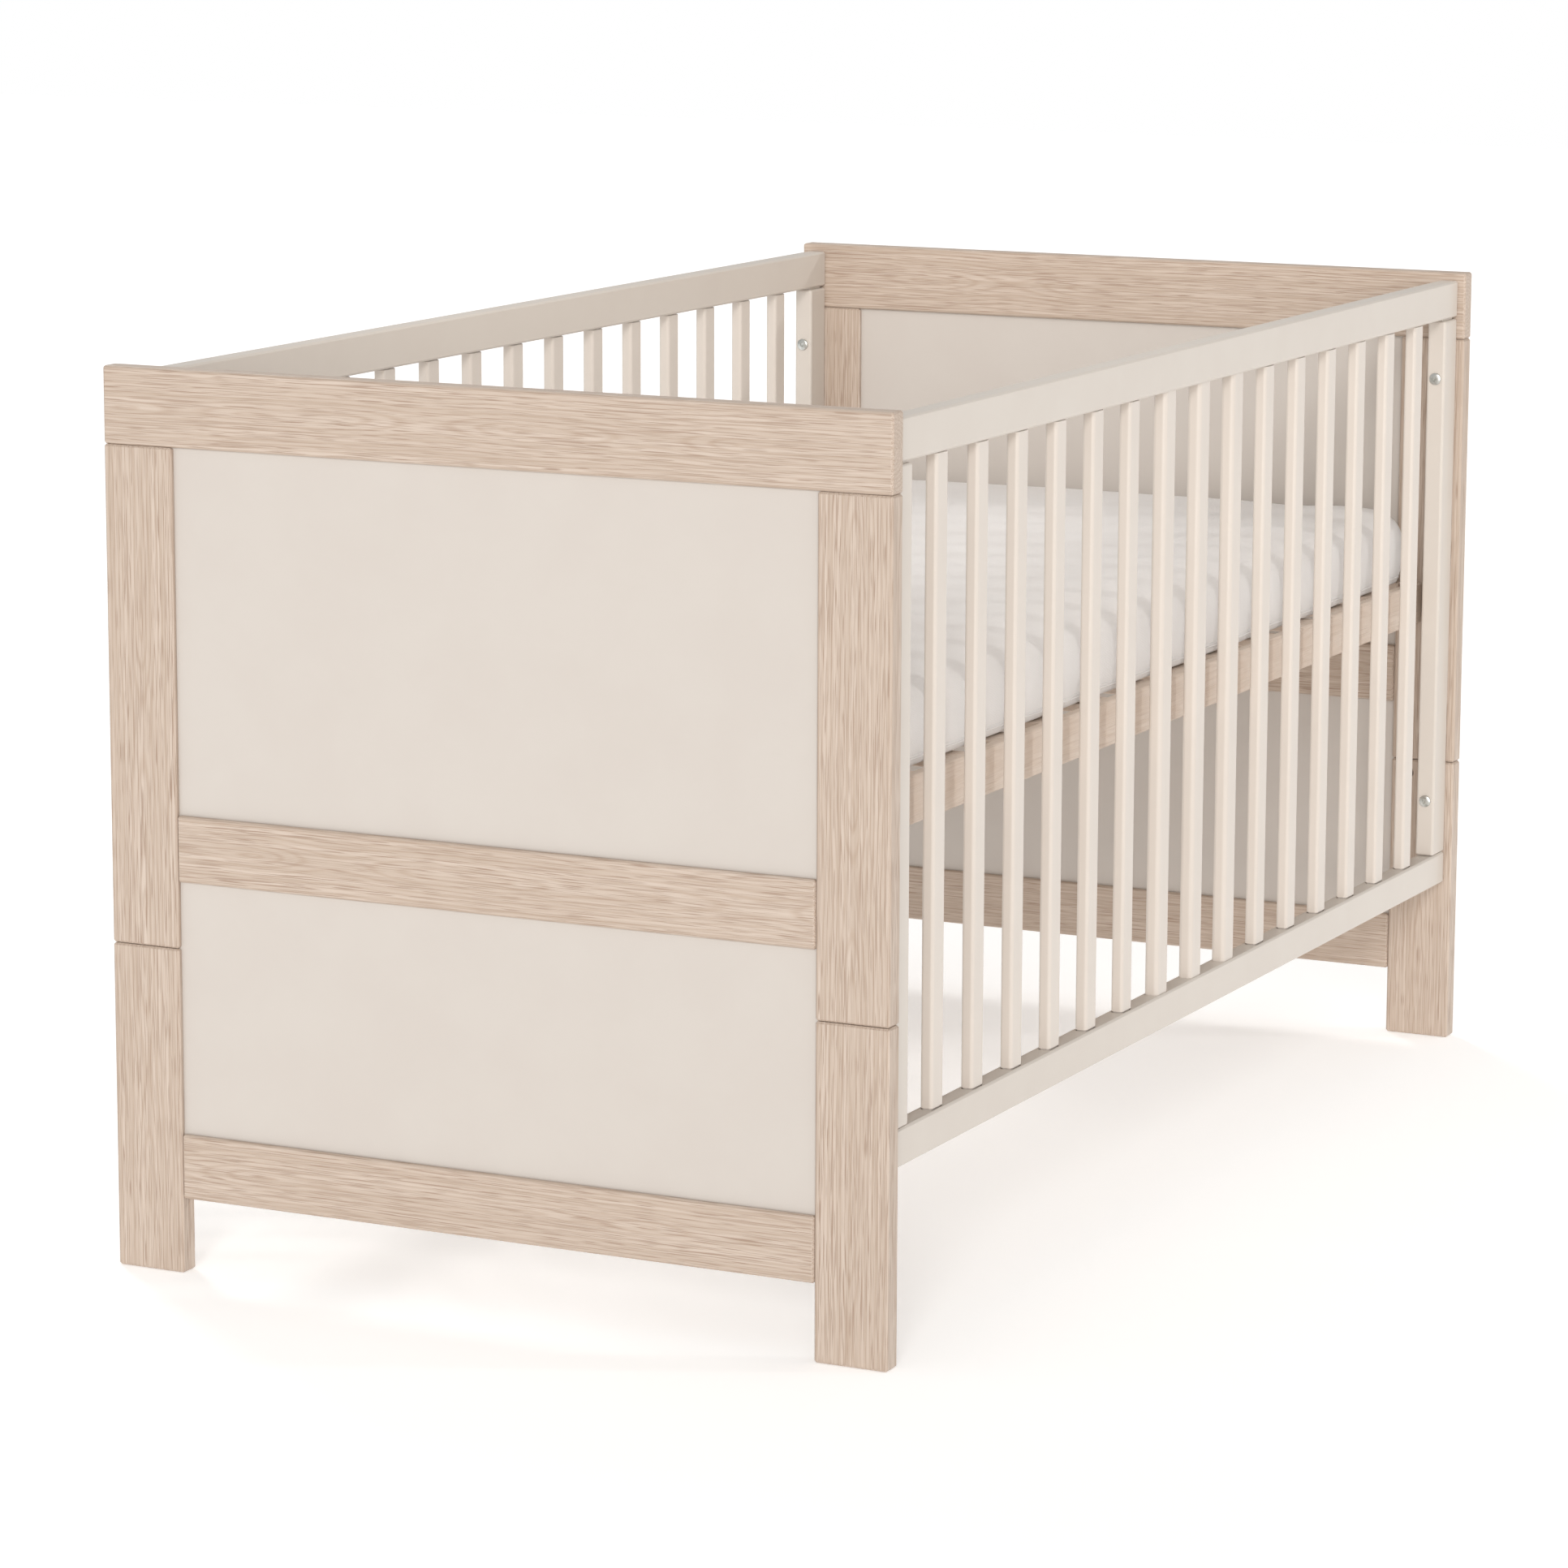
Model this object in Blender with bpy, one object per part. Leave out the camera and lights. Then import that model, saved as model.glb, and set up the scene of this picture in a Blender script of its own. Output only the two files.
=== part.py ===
"""Baby crib: two panelled ends, two barred sides, a height-adjustable slatted base and its mattress.

Metres, +Z up, the floor at Z = 0. The footboard faces -Y and the headboard +Y. Right is +X.
"""

import math

import bpy

# Overall
LENGTH = 1.446
WIDTH = 0.778
HEIGHT = 0.827

# Clearances
GAP = 0.0003  # between two pieces that touch
RUNNING_GAP = 0.0003  # each side of a piece that slides
PIN_END_GAP = 0.0006  # from a base pin to the post that it faces

# End panels
END_DEPTH = 0.021
POST_WIDTH = 0.070
TOP_RAIL_HEIGHT = 0.070
MID_RAIL_Z = 0.3635
MID_RAIL_HEIGHT = 0.061
LOW_RAIL_Z = 0.070
LOW_RAIL_HEIGHT = 0.060
LEG_JOINT_Z = 0.302
END_CHAMFER = 0.0018
PANEL_DEPTH = 0.010
GROOVE_DEEP = 0.006
TENON_SHOULDER = 0.0075
TOP_GROOVE_INSET = 0.015
LEG_TENON_WIDTH = 0.024
LEG_TENON_HEIGHT = 0.015

# Sides
SIDE_INSET = 0.008
SIDE_DEPTH = 0.020
SIDE_TOP_DROP = 0.008  # from the end panels' top to the sides' top
SIDE_BOTTOM_Z = 0.171
SIDE_TOP_RAIL_HEIGHT = 0.038
SIDE_LOW_RAIL_HEIGHT = 0.034
SIDE_CHAMFER = 0.0018
STILE_WIDTH = 0.036
STILE_CORNER = 0.004
STILE_TOP_GAP = 0.0018
BAR_COUNT = 15
BAR_END_DISTANCE = 0.1053  # from the rail's end to the first bar's middle
BAR_DEPTH = 0.012
BAR_WIDTH = 0.024
BAR_CORNER = 0.004
BAR_TENON = 0.010
REMOVABLE_COUNT = 3
REMOVABLE_DEPTH = 0.014
REMOVABLE_WIDTH = 0.027
REMOVABLE_LIFT = 0.012

# Connecting bolts
BOLT_TO_TOP_RAIL = 0.063
BOLT_TO_LOW_RAIL = 0.060
BOLT_RADIUS = 0.003
BOLT_REACH = 0.012  # length inside the post
BOLT_HOLE_DEPTH = 0.014
HEAD_RADIUS = 0.0062
HEAD_HEIGHT = 0.0032
SOCKET_RADIUS = 0.0022
SOCKET_DEPTH = 0.0018

# Slatted base and mattress
BASE_TOP_Z = 0.496
BASE_RAIL_HEIGHT = 0.043
BASE_RAIL_DEPTH = 0.020
BASE_SIDE_GAP = 0.011
BASE_END_GAP = 0.004
BASE_DROP = 0.187
BASE_CHAMFER = 0.0015
REBATE_WIDE = 0.010
SLAT_THICK = 0.008
SLAT_WIDTH = 0.050
SLAT_COUNT = 12
WEBBING_INSET = 0.130
WEBBING_WIDTH = 0.022
WEBBING_THICK = 0.002
WEBBING_BITE = 0.0006
PIN_RADIUS = 0.004
PIN_LENGTH = 0.030
PIN_HOLE_DEPTH = 0.012
MATTRESS_SIDE_GAP = 0.002
MATTRESS_END_GAP = 0.003
MATTRESS_THICK = 0.078
MATTRESS_ROUND = 0.018

# Smoothness
CORNER_STEPS = 3
ROUND_STEPS = 16
DOME_STEPS = 3
OVERCUT = 0.002  # how far a cutter stands out of what it cuts

# Worked out from the sizes above
INNER_HALF_LENGTH = LENGTH / 2 - END_DEPTH
END_MIDDLE_Y = (LENGTH - END_DEPTH) / 2
POST_INNER_X = WIDTH / 2 - POST_WIDTH
SIDE_MIDDLE_X = WIDTH / 2 - SIDE_INSET - SIDE_DEPTH / 2
SIDE_HALF_LENGTH = INNER_HALF_LENGTH - GAP
TOP_RAIL_Z = HEIGHT - TOP_RAIL_HEIGHT
SIDE_TOP_Z = HEIGHT - SIDE_TOP_DROP
SIDE_TOP_RAIL_Z = SIDE_TOP_Z - SIDE_TOP_RAIL_HEIGHT
SIDE_LOW_RAIL_TOP = SIDE_BOTTOM_Z + SIDE_LOW_RAIL_HEIGHT
BOLT_HIGH_Z = SIDE_TOP_RAIL_Z - BOLT_TO_TOP_RAIL
BOLT_LOW_Z = SIDE_LOW_RAIL_TOP + BOLT_TO_LOW_RAIL
STILE_MIDDLE_Y = SIDE_HALF_LENGTH - STILE_WIDTH / 2
STILE_FREE_Y = SIDE_HALF_LENGTH - STILE_WIDTH
BASE_HALF_WIDTH = SIDE_MIDDLE_X - SIDE_DEPTH / 2 - BASE_SIDE_GAP
BASE_RAIL_X = BASE_HALF_WIDTH - BASE_RAIL_DEPTH / 2
BASE_HALF_LENGTH = INNER_HALF_LENGTH - BASE_END_GAP
BASE_BOTTOM_Z = BASE_TOP_Z - BASE_RAIL_HEIGHT
PIN_Z = BASE_TOP_Z - BASE_RAIL_HEIGHT / 2

FINISHES = {
    "elm_decor": ((0.66, 0.52, 0.41), 0.55, 0.0),
    "cream_lacquer": ((0.76, 0.70, 0.62), 0.42, 0.0),
    "bare_wood": ((0.70, 0.57, 0.43), 0.60, 0.0),
    "zinc_steel": ((0.60, 0.61, 0.62), 0.28, 1.0),
    "cotton_cover": ((0.82, 0.81, 0.80), 0.90, 0.0),
}


def clear_scene():
    """Removes every object of the scene."""
    for obj in list(bpy.data.objects):
        bpy.data.objects.remove(obj, do_unlink=True)


def make_finishes():
    """One Principled material for each finish."""
    made = {}
    for name, (colour, roughness, metallic) in FINISHES.items():
        material = bpy.data.materials.new(name)
        material.use_nodes = True
        shader = material.node_tree.nodes["Principled BSDF"]
        shader.inputs["Base Color"].default_value = (*colour, 1.0)
        shader.inputs["Roughness"].default_value = roughness
        shader.inputs["Metallic"].default_value = metallic
        made[name] = material
    return made


def empty(name, location, turn=0.0):
    """An empty that carries one sub-assembly; turn is its angle about Z."""
    carrier = bpy.data.objects.new(name, None)
    carrier.location = location
    carrier.rotation_euler = (0.0, 0.0, turn)
    bpy.context.scene.collection.objects.link(carrier)
    return carrier


def place(name, mesh, parent, location=(0.0, 0.0, 0.0), material=None):
    """Links a mesh as an object under its carrier."""
    obj = bpy.data.objects.new(name, mesh)
    obj.parent = parent
    obj.location = location
    if material and not mesh.materials:
        mesh.materials.append(material)
    bpy.context.scene.collection.objects.link(obj)
    return obj


def mesh_of(name, points, faces):
    """A mesh from points and faces whose normals face out."""
    mesh = bpy.data.meshes.new(name)
    mesh.from_pydata(points, [], faces)
    mesh.validate()
    return mesh


def box_mesh(name, size_x, size_y, size_z):
    """A box centred on its origin."""
    x, y, z = size_x / 2, size_y / 2, size_z / 2
    ring = ((-x, -y), (x, -y), (x, y), (-x, y))
    return prism_mesh(name, ring, -z, z)


def prism_data(outline, low, high, start=0):
    """Points and faces of an outline extruded along Z, numbered from start."""
    count = len(outline)
    points = [(x, y, low) for x, y in outline] + [(x, y, high) for x, y in outline]
    faces = [tuple(start + i for i in reversed(range(count)))]
    faces.append(tuple(start + count + i for i in range(count)))
    for i in range(count):
        j = (i + 1) % count
        faces.append((start + i, start + j, start + count + j, start + count + i))
    return points, faces


def prism_mesh(name, outline, low, high):
    """An outline, listed anticlockwise, extruded along Z."""
    points, faces = prism_data(outline, low, high)
    return mesh_of(name, points, faces)


def rounded_outline(size_x, size_y, corner, x=0.0, y=0.0):
    """A rectangle with rounded corners, centred on (x, y)."""
    points = []
    quarters = ((1, 1, 0.0), (-1, 1, 0.5), (-1, -1, 1.0), (1, -1, 1.5))
    for sign_x, sign_y, start in quarters:
        middle_x = x + sign_x * (size_x / 2 - corner)
        middle_y = y + sign_y * (size_y / 2 - corner)
        for step in range(CORNER_STEPS + 1):
            angle = math.pi * (start + 0.5 * step / CORNER_STEPS)
            points.append((middle_x + corner * math.cos(angle), middle_y + corner * math.sin(angle)))
    return points


def turned_mesh(name, profile):
    """A profile of (radius, y), listed from its -Y end, turned about Y and closed at both ends."""
    points = [(0.0, profile[0][1], 0.0)]
    faces = []
    for radius, y in profile:
        for step in range(ROUND_STEPS):
            angle = 2 * math.pi * step / ROUND_STEPS
            points.append((radius * math.cos(angle), y, radius * math.sin(angle)))
    points.append((0.0, profile[-1][1], 0.0))
    last = len(points) - 1
    for step in range(ROUND_STEPS):
        after = (step + 1) % ROUND_STEPS
        faces.append((0, 1 + step, 1 + after))
        for ring in range(len(profile) - 1):
            here = 1 + ring * ROUND_STEPS
            there = here + ROUND_STEPS
            faces.append((here + step, there + step, there + after, here + after))
        tail = 1 + (len(profile) - 1) * ROUND_STEPS
        faces.append((last, tail + after, tail + step))
    return mesh_of(name, points, faces)


def chamfer(obj, width):
    """Eases every edge of a box."""
    modifier = obj.modifiers.new("eased_edges", "BEVEL")
    modifier.width = width
    modifier.segments = 1
    modifier.limit_method = "NONE"


def box(name, parent, low, high, material=None, eased=0.0):
    """A box between two corners, as an object."""
    size = [b - a for a, b in zip(low, high)]
    middle = [(a + b) / 2 for a, b in zip(low, high)]
    obj = place(name, box_mesh(name, *size), parent, middle, material)
    if eased:
        chamfer(obj, eased)
    return obj


def combine(obj, helper, operation):
    """Joins a helper to an object, or cuts it away, and hides the helper."""
    helper.hide_render = True
    helper.display_type = "WIRE"
    modifier = obj.modifiers.new(operation.lower() + "_" + helper.name, "BOOLEAN")
    modifier.operation = operation
    modifier.solver = "EXACT"
    modifier.object = helper


def cut_box(obj, parent, label, low, high):
    """Cuts a box-shaped space out of an object."""
    combine(obj, box("cut_" + label + "_" + obj.name, parent, low, high), "DIFFERENCE")


def add_box(obj, parent, label, low, high):
    """Adds a tongue or tenon to an object."""
    combine(obj, box("add_" + label + "_" + obj.name, parent, low, high), "UNION")


def drill_post(obj, parent, sign, bottom, top):
    """Drills the blind bolt and pin holes that fall between two heights into the face at +END_DEPTH / 2."""
    bolt = (SIDE_MIDDLE_X, BOLT_RADIUS + GAP, BOLT_HOLE_DEPTH)
    pin = (BASE_RAIL_X, PIN_RADIUS + GAP, PIN_HOLE_DEPTH)
    rows = ((BOLT_LOW_Z, bolt), (BOLT_HIGH_Z, bolt), (PIN_Z, pin), (PIN_Z - BASE_DROP, pin))
    y = END_DEPTH / 2
    for index, (z, (x, radius, depth)) in enumerate(rows):
        if bottom < z + radius and z - radius < top:
            mesh = turned_mesh("drill", ((radius, y - depth), (radius, y + OVERCUT)))
            drill = place(f"cut_hole{index}_{obj.name}", mesh, parent, (sign * x, 0.0, z))
            combine(obj, drill, "DIFFERENCE")


def span(sign, near, far):
    """The lower and upper of two distances on one side of the middle."""
    return sorted((sign * near, sign * far))


def end_top_rail(label, parent, wood):
    """The full-width rail across the posts, grooved along its underside."""
    half = WIDTH / 2
    depth = END_DEPTH / 2
    rail = box(label + "_top_rail", parent, (-half, -depth, TOP_RAIL_Z), (half, depth, HEIGHT), wood, END_CHAMFER)
    reach = half - TOP_GROOVE_INSET
    groove = PANEL_DEPTH / 2 + GAP
    low = (-reach, -groove, TOP_RAIL_Z - OVERCUT)
    cut_box(rail, parent, "groove", low, (reach, groove, TOP_RAIL_Z + GROOVE_DEEP + GAP))


def end_cross_rail(label, part, parent, wood, bottom, height, grooves):
    """A rail between the posts, with a stub tenon at each end and grooves for the infill panels."""
    half = POST_INNER_X - GAP
    depth = END_DEPTH / 2
    top = bottom + height
    rail = box(label + "_" + part, parent, (-half, -depth, bottom), (half, depth, top), wood, END_CHAMFER)
    tongue = PANEL_DEPTH / 2
    for side in (-1, 1):
        x_low, x_high = span(side, half - TENON_SHOULDER, half + GROOVE_DEEP)
        low = (x_low, -tongue, bottom + TENON_SHOULDER)
        add_box(rail, parent, f"tenon{side + 1}", low, (x_high, tongue, top - TENON_SHOULDER))
    groove = tongue + GAP
    for edge, inward in grooves:
        z_low, z_high = sorted((edge - inward * OVERCUT, edge + inward * (GROOVE_DEEP + GAP)))
        cut_box(rail, parent, f"groove{inward + 1}", (-half - GAP, -groove, z_low), (half + GAP, groove, z_high))


def end_post(label, parent, wood, sign, where):
    """An upper post: grooved for the panels, tenoned into the top rail, drilled for bolts and base pins."""
    depth = END_DEPTH / 2
    x_low, x_high = span(sign, POST_INNER_X, WIDTH / 2)
    top = TOP_RAIL_Z - GAP
    bottom = LEG_JOINT_Z + GAP
    post = box(f"{label}_{where}_post", parent, (x_low, -depth, bottom), (x_high, depth, top), wood, END_CHAMFER)
    tongue = PANEL_DEPTH / 2
    groove = tongue + GAP
    inner = span(sign, POST_INNER_X - OVERCUT, POST_INNER_X + GROOVE_DEEP + GAP)
    low = (inner[0], -groove, bottom - OVERCUT)
    cut_box(post, parent, "groove", low, (inner[1], groove, top + OVERCUT))
    tenon = span(sign, POST_INNER_X + GROOVE_DEEP + TENON_SHOULDER, WIDTH / 2 - TOP_GROOVE_INSET - GAP)
    low = (tenon[0], -tongue, top - TENON_SHOULDER)
    add_box(post, parent, "tenon", low, (tenon[1], tongue, TOP_RAIL_Z + GROOVE_DEEP))
    middle = sign * (POST_INNER_X + POST_WIDTH / 2)
    half = LEG_TENON_WIDTH / 2 + GAP
    low = (middle - half, -groove, bottom - OVERCUT)
    high = (middle + half, groove, LEG_JOINT_Z + LEG_TENON_HEIGHT + GAP)
    cut_box(post, parent, "mortise", low, high)
    drill_post(post, parent, sign, bottom, top)


def end_leg(label, parent, wood, sign, where):
    """A lower leg, tenoned up into its post, drilled for a bolt and for the base's low position."""
    depth = END_DEPTH / 2
    x_low, x_high = span(sign, POST_INNER_X, WIDTH / 2)
    top = LEG_JOINT_Z - GAP
    leg = box(f"{label}_{where}_leg", parent, (x_low, -depth, 0.0), (x_high, depth, top), wood, END_CHAMFER)
    tongue = PANEL_DEPTH / 2
    groove = tongue + GAP
    inner = span(sign, POST_INNER_X - OVERCUT, POST_INNER_X + GROOVE_DEEP + GAP)
    low = (inner[0], -groove, LOW_RAIL_Z + TENON_SHOULDER - GAP)
    cut_box(leg, parent, "groove", low, (inner[1], groove, top + OVERCUT))
    middle = sign * (POST_INNER_X + POST_WIDTH / 2)
    half = LEG_TENON_WIDTH / 2
    low = (middle - half, -tongue, top - TENON_SHOULDER)
    add_box(leg, parent, "tenon", low, (middle + half, tongue, LEG_JOINT_Z + LEG_TENON_HEIGHT))
    drill_post(leg, parent, sign, 0.0, top)


def end_infill(label, part, parent, lacquer, bottom, top):
    """A thin panel held in the grooves around it."""
    half = POST_INNER_X + GROOVE_DEEP
    depth = PANEL_DEPTH / 2
    low = (-half, -depth, bottom - GROOVE_DEEP)
    box(f"{label}_{part}_panel", parent, low, (half, depth, top + GROOVE_DEEP), lacquer)


def end_panel(label, turn, names, finishes):
    """A whole end: frame members in wood decor around two lacquered panels."""
    y = -END_MIDDLE_Y if turn == 0.0 else END_MIDDLE_Y
    carrier = empty(label, (0.0, y, 0.0), turn)
    wood = finishes["elm_decor"]
    lacquer = finishes["cream_lacquer"]
    low_top = LOW_RAIL_Z + LOW_RAIL_HEIGHT
    mid_top = MID_RAIL_Z + MID_RAIL_HEIGHT
    end_top_rail(label, carrier, wood)
    end_cross_rail(label, "mid_rail", carrier, wood, MID_RAIL_Z, MID_RAIL_HEIGHT, ((MID_RAIL_Z, 1), (mid_top, -1)))
    end_cross_rail(label, "low_rail", carrier, wood, LOW_RAIL_Z, LOW_RAIL_HEIGHT, ((low_top, -1),))
    for sign, where in zip((-1, 1), names):
        end_post(label, carrier, wood, sign, where)
        end_leg(label, carrier, wood, sign, where)
    end_infill(label, "upper", carrier, lacquer, mid_top, TOP_RAIL_Z)
    end_infill(label, "lower", carrier, lacquer, low_top, MID_RAIL_Z)


def bar_places():
    """Each bar's place along the rail, and whether it is one of the middle bars."""
    pitch = 2 * (SIDE_HALF_LENGTH - BAR_END_DISTANCE) / (BAR_COUNT - 1)
    first = (BAR_COUNT - REMOVABLE_COUNT) // 2
    places = []
    for index in range(BAR_COUNT):
        y = (index - (BAR_COUNT - 1) / 2) * pitch
        places.append((y, first <= index < first + REMOVABLE_COUNT))
    return places


def bar_outline(removable, y=0.0, gap=0.0):
    """A bar's section, or its mortise's when a gap is given."""
    depth = REMOVABLE_DEPTH if removable else BAR_DEPTH
    width = REMOVABLE_WIDTH if removable else BAR_WIDTH
    return rounded_outline(depth + 2 * gap, width + 2 * gap, BAR_CORNER + gap, 0.0, y)


def rail_sockets(rail, parent, face, direction, with_lift, removable_side):
    """Cuts a mortise into a side rail for every bar and for both stile tenons."""
    entries = [(y, removable and removable_side) for y, removable in bar_places()]
    entries += [(-STILE_MIDDLE_Y, False), (STILE_MIDDLE_Y, False)]
    points, faces = [], []
    for y, removable in entries:
        gap = RUNNING_GAP if removable else GAP
        deep = BAR_TENON + GAP + (REMOVABLE_LIFT if removable and with_lift else 0.0)
        low, high = sorted((face - direction * OVERCUT, face + direction * deep))
        more_points, more_faces = prism_data(bar_outline(removable, y, gap), low, high, len(points))
        points += more_points
        faces += more_faces
    cutter = place("cut_sockets_" + rail.name, mesh_of("sockets", points, faces), parent)
    combine(rail, cutter, "DIFFERENCE")


def side_rail(name, parent, lacquer, bottom, top):
    """A straight rail of a side, centred on the side's middle plane."""
    half = SIDE_DEPTH / 2
    low = (-half, -SIDE_HALF_LENGTH, bottom)
    return box(name, parent, low, (half, SIDE_HALF_LENGTH, top), lacquer, SIDE_CHAMFER)


def side_stile(name, parent, lacquer, sign):
    """An upright at the end of a side, tenoned into both rails and drilled for its two bolts."""
    y = sign * STILE_MIDDLE_Y
    low = SIDE_LOW_RAIL_TOP + GAP
    high = SIDE_TOP_RAIL_Z - STILE_TOP_GAP
    mesh = prism_mesh(name, rounded_outline(SIDE_DEPTH, STILE_WIDTH, STILE_CORNER), low, high)
    stile = place(name, mesh, parent, (0.0, y, 0.0), lacquer)
    inside = BAR_TENON / 2
    spans = ((SIDE_LOW_RAIL_TOP - BAR_TENON, low + inside), (high - inside, SIDE_TOP_RAIL_Z + BAR_TENON))
    for index, (start, stop) in enumerate(spans):
        tenon = prism_mesh("tenon", bar_outline(False), start, stop)
        combine(stile, place(f"add_tenon{index}_{name}", tenon, parent, (0.0, y, 0.0)), "UNION")
    reach = STILE_WIDTH / 2 + OVERCUT
    for z in (BOLT_LOW_Z, BOLT_HIGH_Z):
        mesh = turned_mesh("stile_drill", ((BOLT_RADIUS + GAP, -reach), (BOLT_RADIUS + GAP, reach)))
        drill = place(f"cut_bolt{int(z == BOLT_HIGH_Z)}_{name}", mesh, parent, (0.0, y, z))
        combine(stile, drill, "DIFFERENCE")


def bar_span():
    """The bottom and top of a bar, inside its two mortises."""
    return SIDE_LOW_RAIL_TOP - BAR_TENON, SIDE_TOP_RAIL_Z + BAR_TENON


def separate_bars(label, parent, lacquer):
    """Every bar of a side as its own piece; the middle ones are thicker and lift out."""
    low, high = bar_span()
    for index, (y, removable) in enumerate(bar_places()):
        kind = "removable_bar" if removable else "bar"
        name = f"{label}_{kind}_{index + 1:02d}"
        place(name, prism_mesh(name, bar_outline(removable), low, high), parent, (0.0, y, 0.0), lacquer)


def bars_on_rail(rail, parent):
    """Grows every bar of a side out of its bottom rail, so that rail and bars are one glued comb."""
    low, high = bar_span()
    points, faces = [], []
    for y, _ in bar_places():
        more_points, more_faces = prism_data(bar_outline(False, y), low, high, len(points))
        points += more_points
        faces += more_faces
    combine(rail, place("add_bars_" + rail.name, mesh_of("bars", points, faces), parent), "UNION")


def stile_sockets(rail, parent, face):
    """Cuts the two stile mortises into a comb's bottom rail."""
    points, faces = [], []
    for y in (-STILE_MIDDLE_Y, STILE_MIDDLE_Y):
        outline = bar_outline(False, y, GAP)
        more_points, more_faces = prism_data(outline, face - BAR_TENON - GAP, face + OVERCUT, len(points))
        points += more_points
        faces += more_faces
    combine(rail, place("cut_sockets_" + rail.name, mesh_of("sockets", points, faces), parent), "DIFFERENCE")


def bolt_mesh():
    """A domed bolt, its head on the -Y end, with a round drive socket."""
    profile = [(SOCKET_RADIUS, SOCKET_DEPTH - HEAD_HEIGHT), (SOCKET_RADIUS, -HEAD_HEIGHT)]
    for step in range(1, DOME_STEPS + 1):
        angle = math.pi / 2 * step / DOME_STEPS
        radius = SOCKET_RADIUS + (HEAD_RADIUS - SOCKET_RADIUS) * math.sin(angle)
        profile.append((radius, -GAP - (HEAD_HEIGHT - GAP) * math.cos(angle)))
    length = STILE_WIDTH + GAP + BOLT_REACH
    profile += [(BOLT_RADIUS, -GAP), (BOLT_RADIUS, length)]
    return turned_mesh("connecting_bolt", profile)


def side_bolts(label, parent, steel, names):
    """Two bolts through each stile into the end panel behind it."""
    mesh = bolt_mesh()
    mesh.materials.append(steel)
    for sign, where in zip((-1, 1), names):
        for z, level in ((BOLT_LOW_Z, "low"), (BOLT_HIGH_Z, "high")):
            bolt = place(f"{label}_{where}_{level}_bolt", mesh, parent, (0.0, sign * STILE_FREE_Y, z))
            bolt.rotation_euler = (0.0, 0.0, 0.0 if sign > 0 else math.pi)


def side(label, turn, names, finishes, removable_side):
    """A whole side. The right one has the bars that lift out; the left one's bars are glued in."""
    x = SIDE_MIDDLE_X if turn == 0.0 else -SIDE_MIDDLE_X
    carrier = empty(label, (x, 0.0, 0.0), turn)
    lacquer = finishes["cream_lacquer"]
    top_rail = side_rail(label + "_top_rail", carrier, lacquer, SIDE_TOP_RAIL_Z, SIDE_TOP_Z)
    rail_sockets(top_rail, carrier, SIDE_TOP_RAIL_Z, 1, True, removable_side)
    if removable_side:
        low_rail = side_rail(label + "_low_rail", carrier, lacquer, SIDE_BOTTOM_Z, SIDE_LOW_RAIL_TOP)
        rail_sockets(low_rail, carrier, SIDE_LOW_RAIL_TOP, -1, False, removable_side)
        separate_bars(label, carrier, lacquer)
    else:
        comb = side_rail(label + "_low_rail_and_bars", carrier, lacquer, SIDE_BOTTOM_Z, SIDE_LOW_RAIL_TOP)
        bars_on_rail(comb, carrier)
        stile_sockets(comb, carrier, SIDE_LOW_RAIL_TOP)
    for sign, where in zip((-1, 1), names):
        side_stile(f"{label}_{where}_stile", carrier, lacquer, sign)
    side_bolts(label, carrier, finishes["zinc_steel"], names)


def base_long_rail(name, parent, wood, sign):
    """A long rail with a rebate for the slats along its inner top edge and a pin bore in each end."""
    x_low, x_high = span(sign, BASE_HALF_WIDTH - BASE_RAIL_DEPTH, BASE_HALF_WIDTH)
    low = (x_low, -BASE_HALF_LENGTH, -BASE_RAIL_HEIGHT)
    rail = box(name, parent, low, (x_high, BASE_HALF_LENGTH, 0.0), wood, BASE_CHAMFER)
    inner = BASE_HALF_WIDTH - BASE_RAIL_DEPTH
    x_low, x_high = span(sign, inner - OVERCUT, inner + REBATE_WIDE)
    length = BASE_HALF_LENGTH + OVERCUT
    cut_box(rail, parent, "rebate", (x_low, -length, -SLAT_THICK - GAP), (x_high, length, OVERCUT))
    for end in (-1, 1):
        start = BASE_HALF_LENGTH - PIN_LENGTH - GAP
        profile = ((PIN_RADIUS + GAP, start), (PIN_RADIUS + GAP, BASE_HALF_LENGTH + OVERCUT))
        mesh = turned_mesh("pin_drill", profile)
        spot = (sign * BASE_RAIL_X, 0.0, -BASE_RAIL_HEIGHT / 2)
        drill = place(f"cut_pin{end + 1}_{name}", mesh, parent, spot)
        drill.rotation_euler = (0.0, 0.0, 0.0 if end > 0 else math.pi)
        combine(rail, drill, "DIFFERENCE")


def base_cross_rail(name, parent, wood, sign):
    """A short rail between the long ones, with its top below the slats' top."""
    half = BASE_HALF_WIDTH - BASE_RAIL_DEPTH - GAP
    y_low, y_high = span(sign, BASE_HALF_LENGTH - BASE_RAIL_DEPTH, BASE_HALF_LENGTH)
    box(name, parent, (-half, y_low, -BASE_RAIL_HEIGHT), (half, y_high, 0.0), wood, BASE_CHAMFER)


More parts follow.
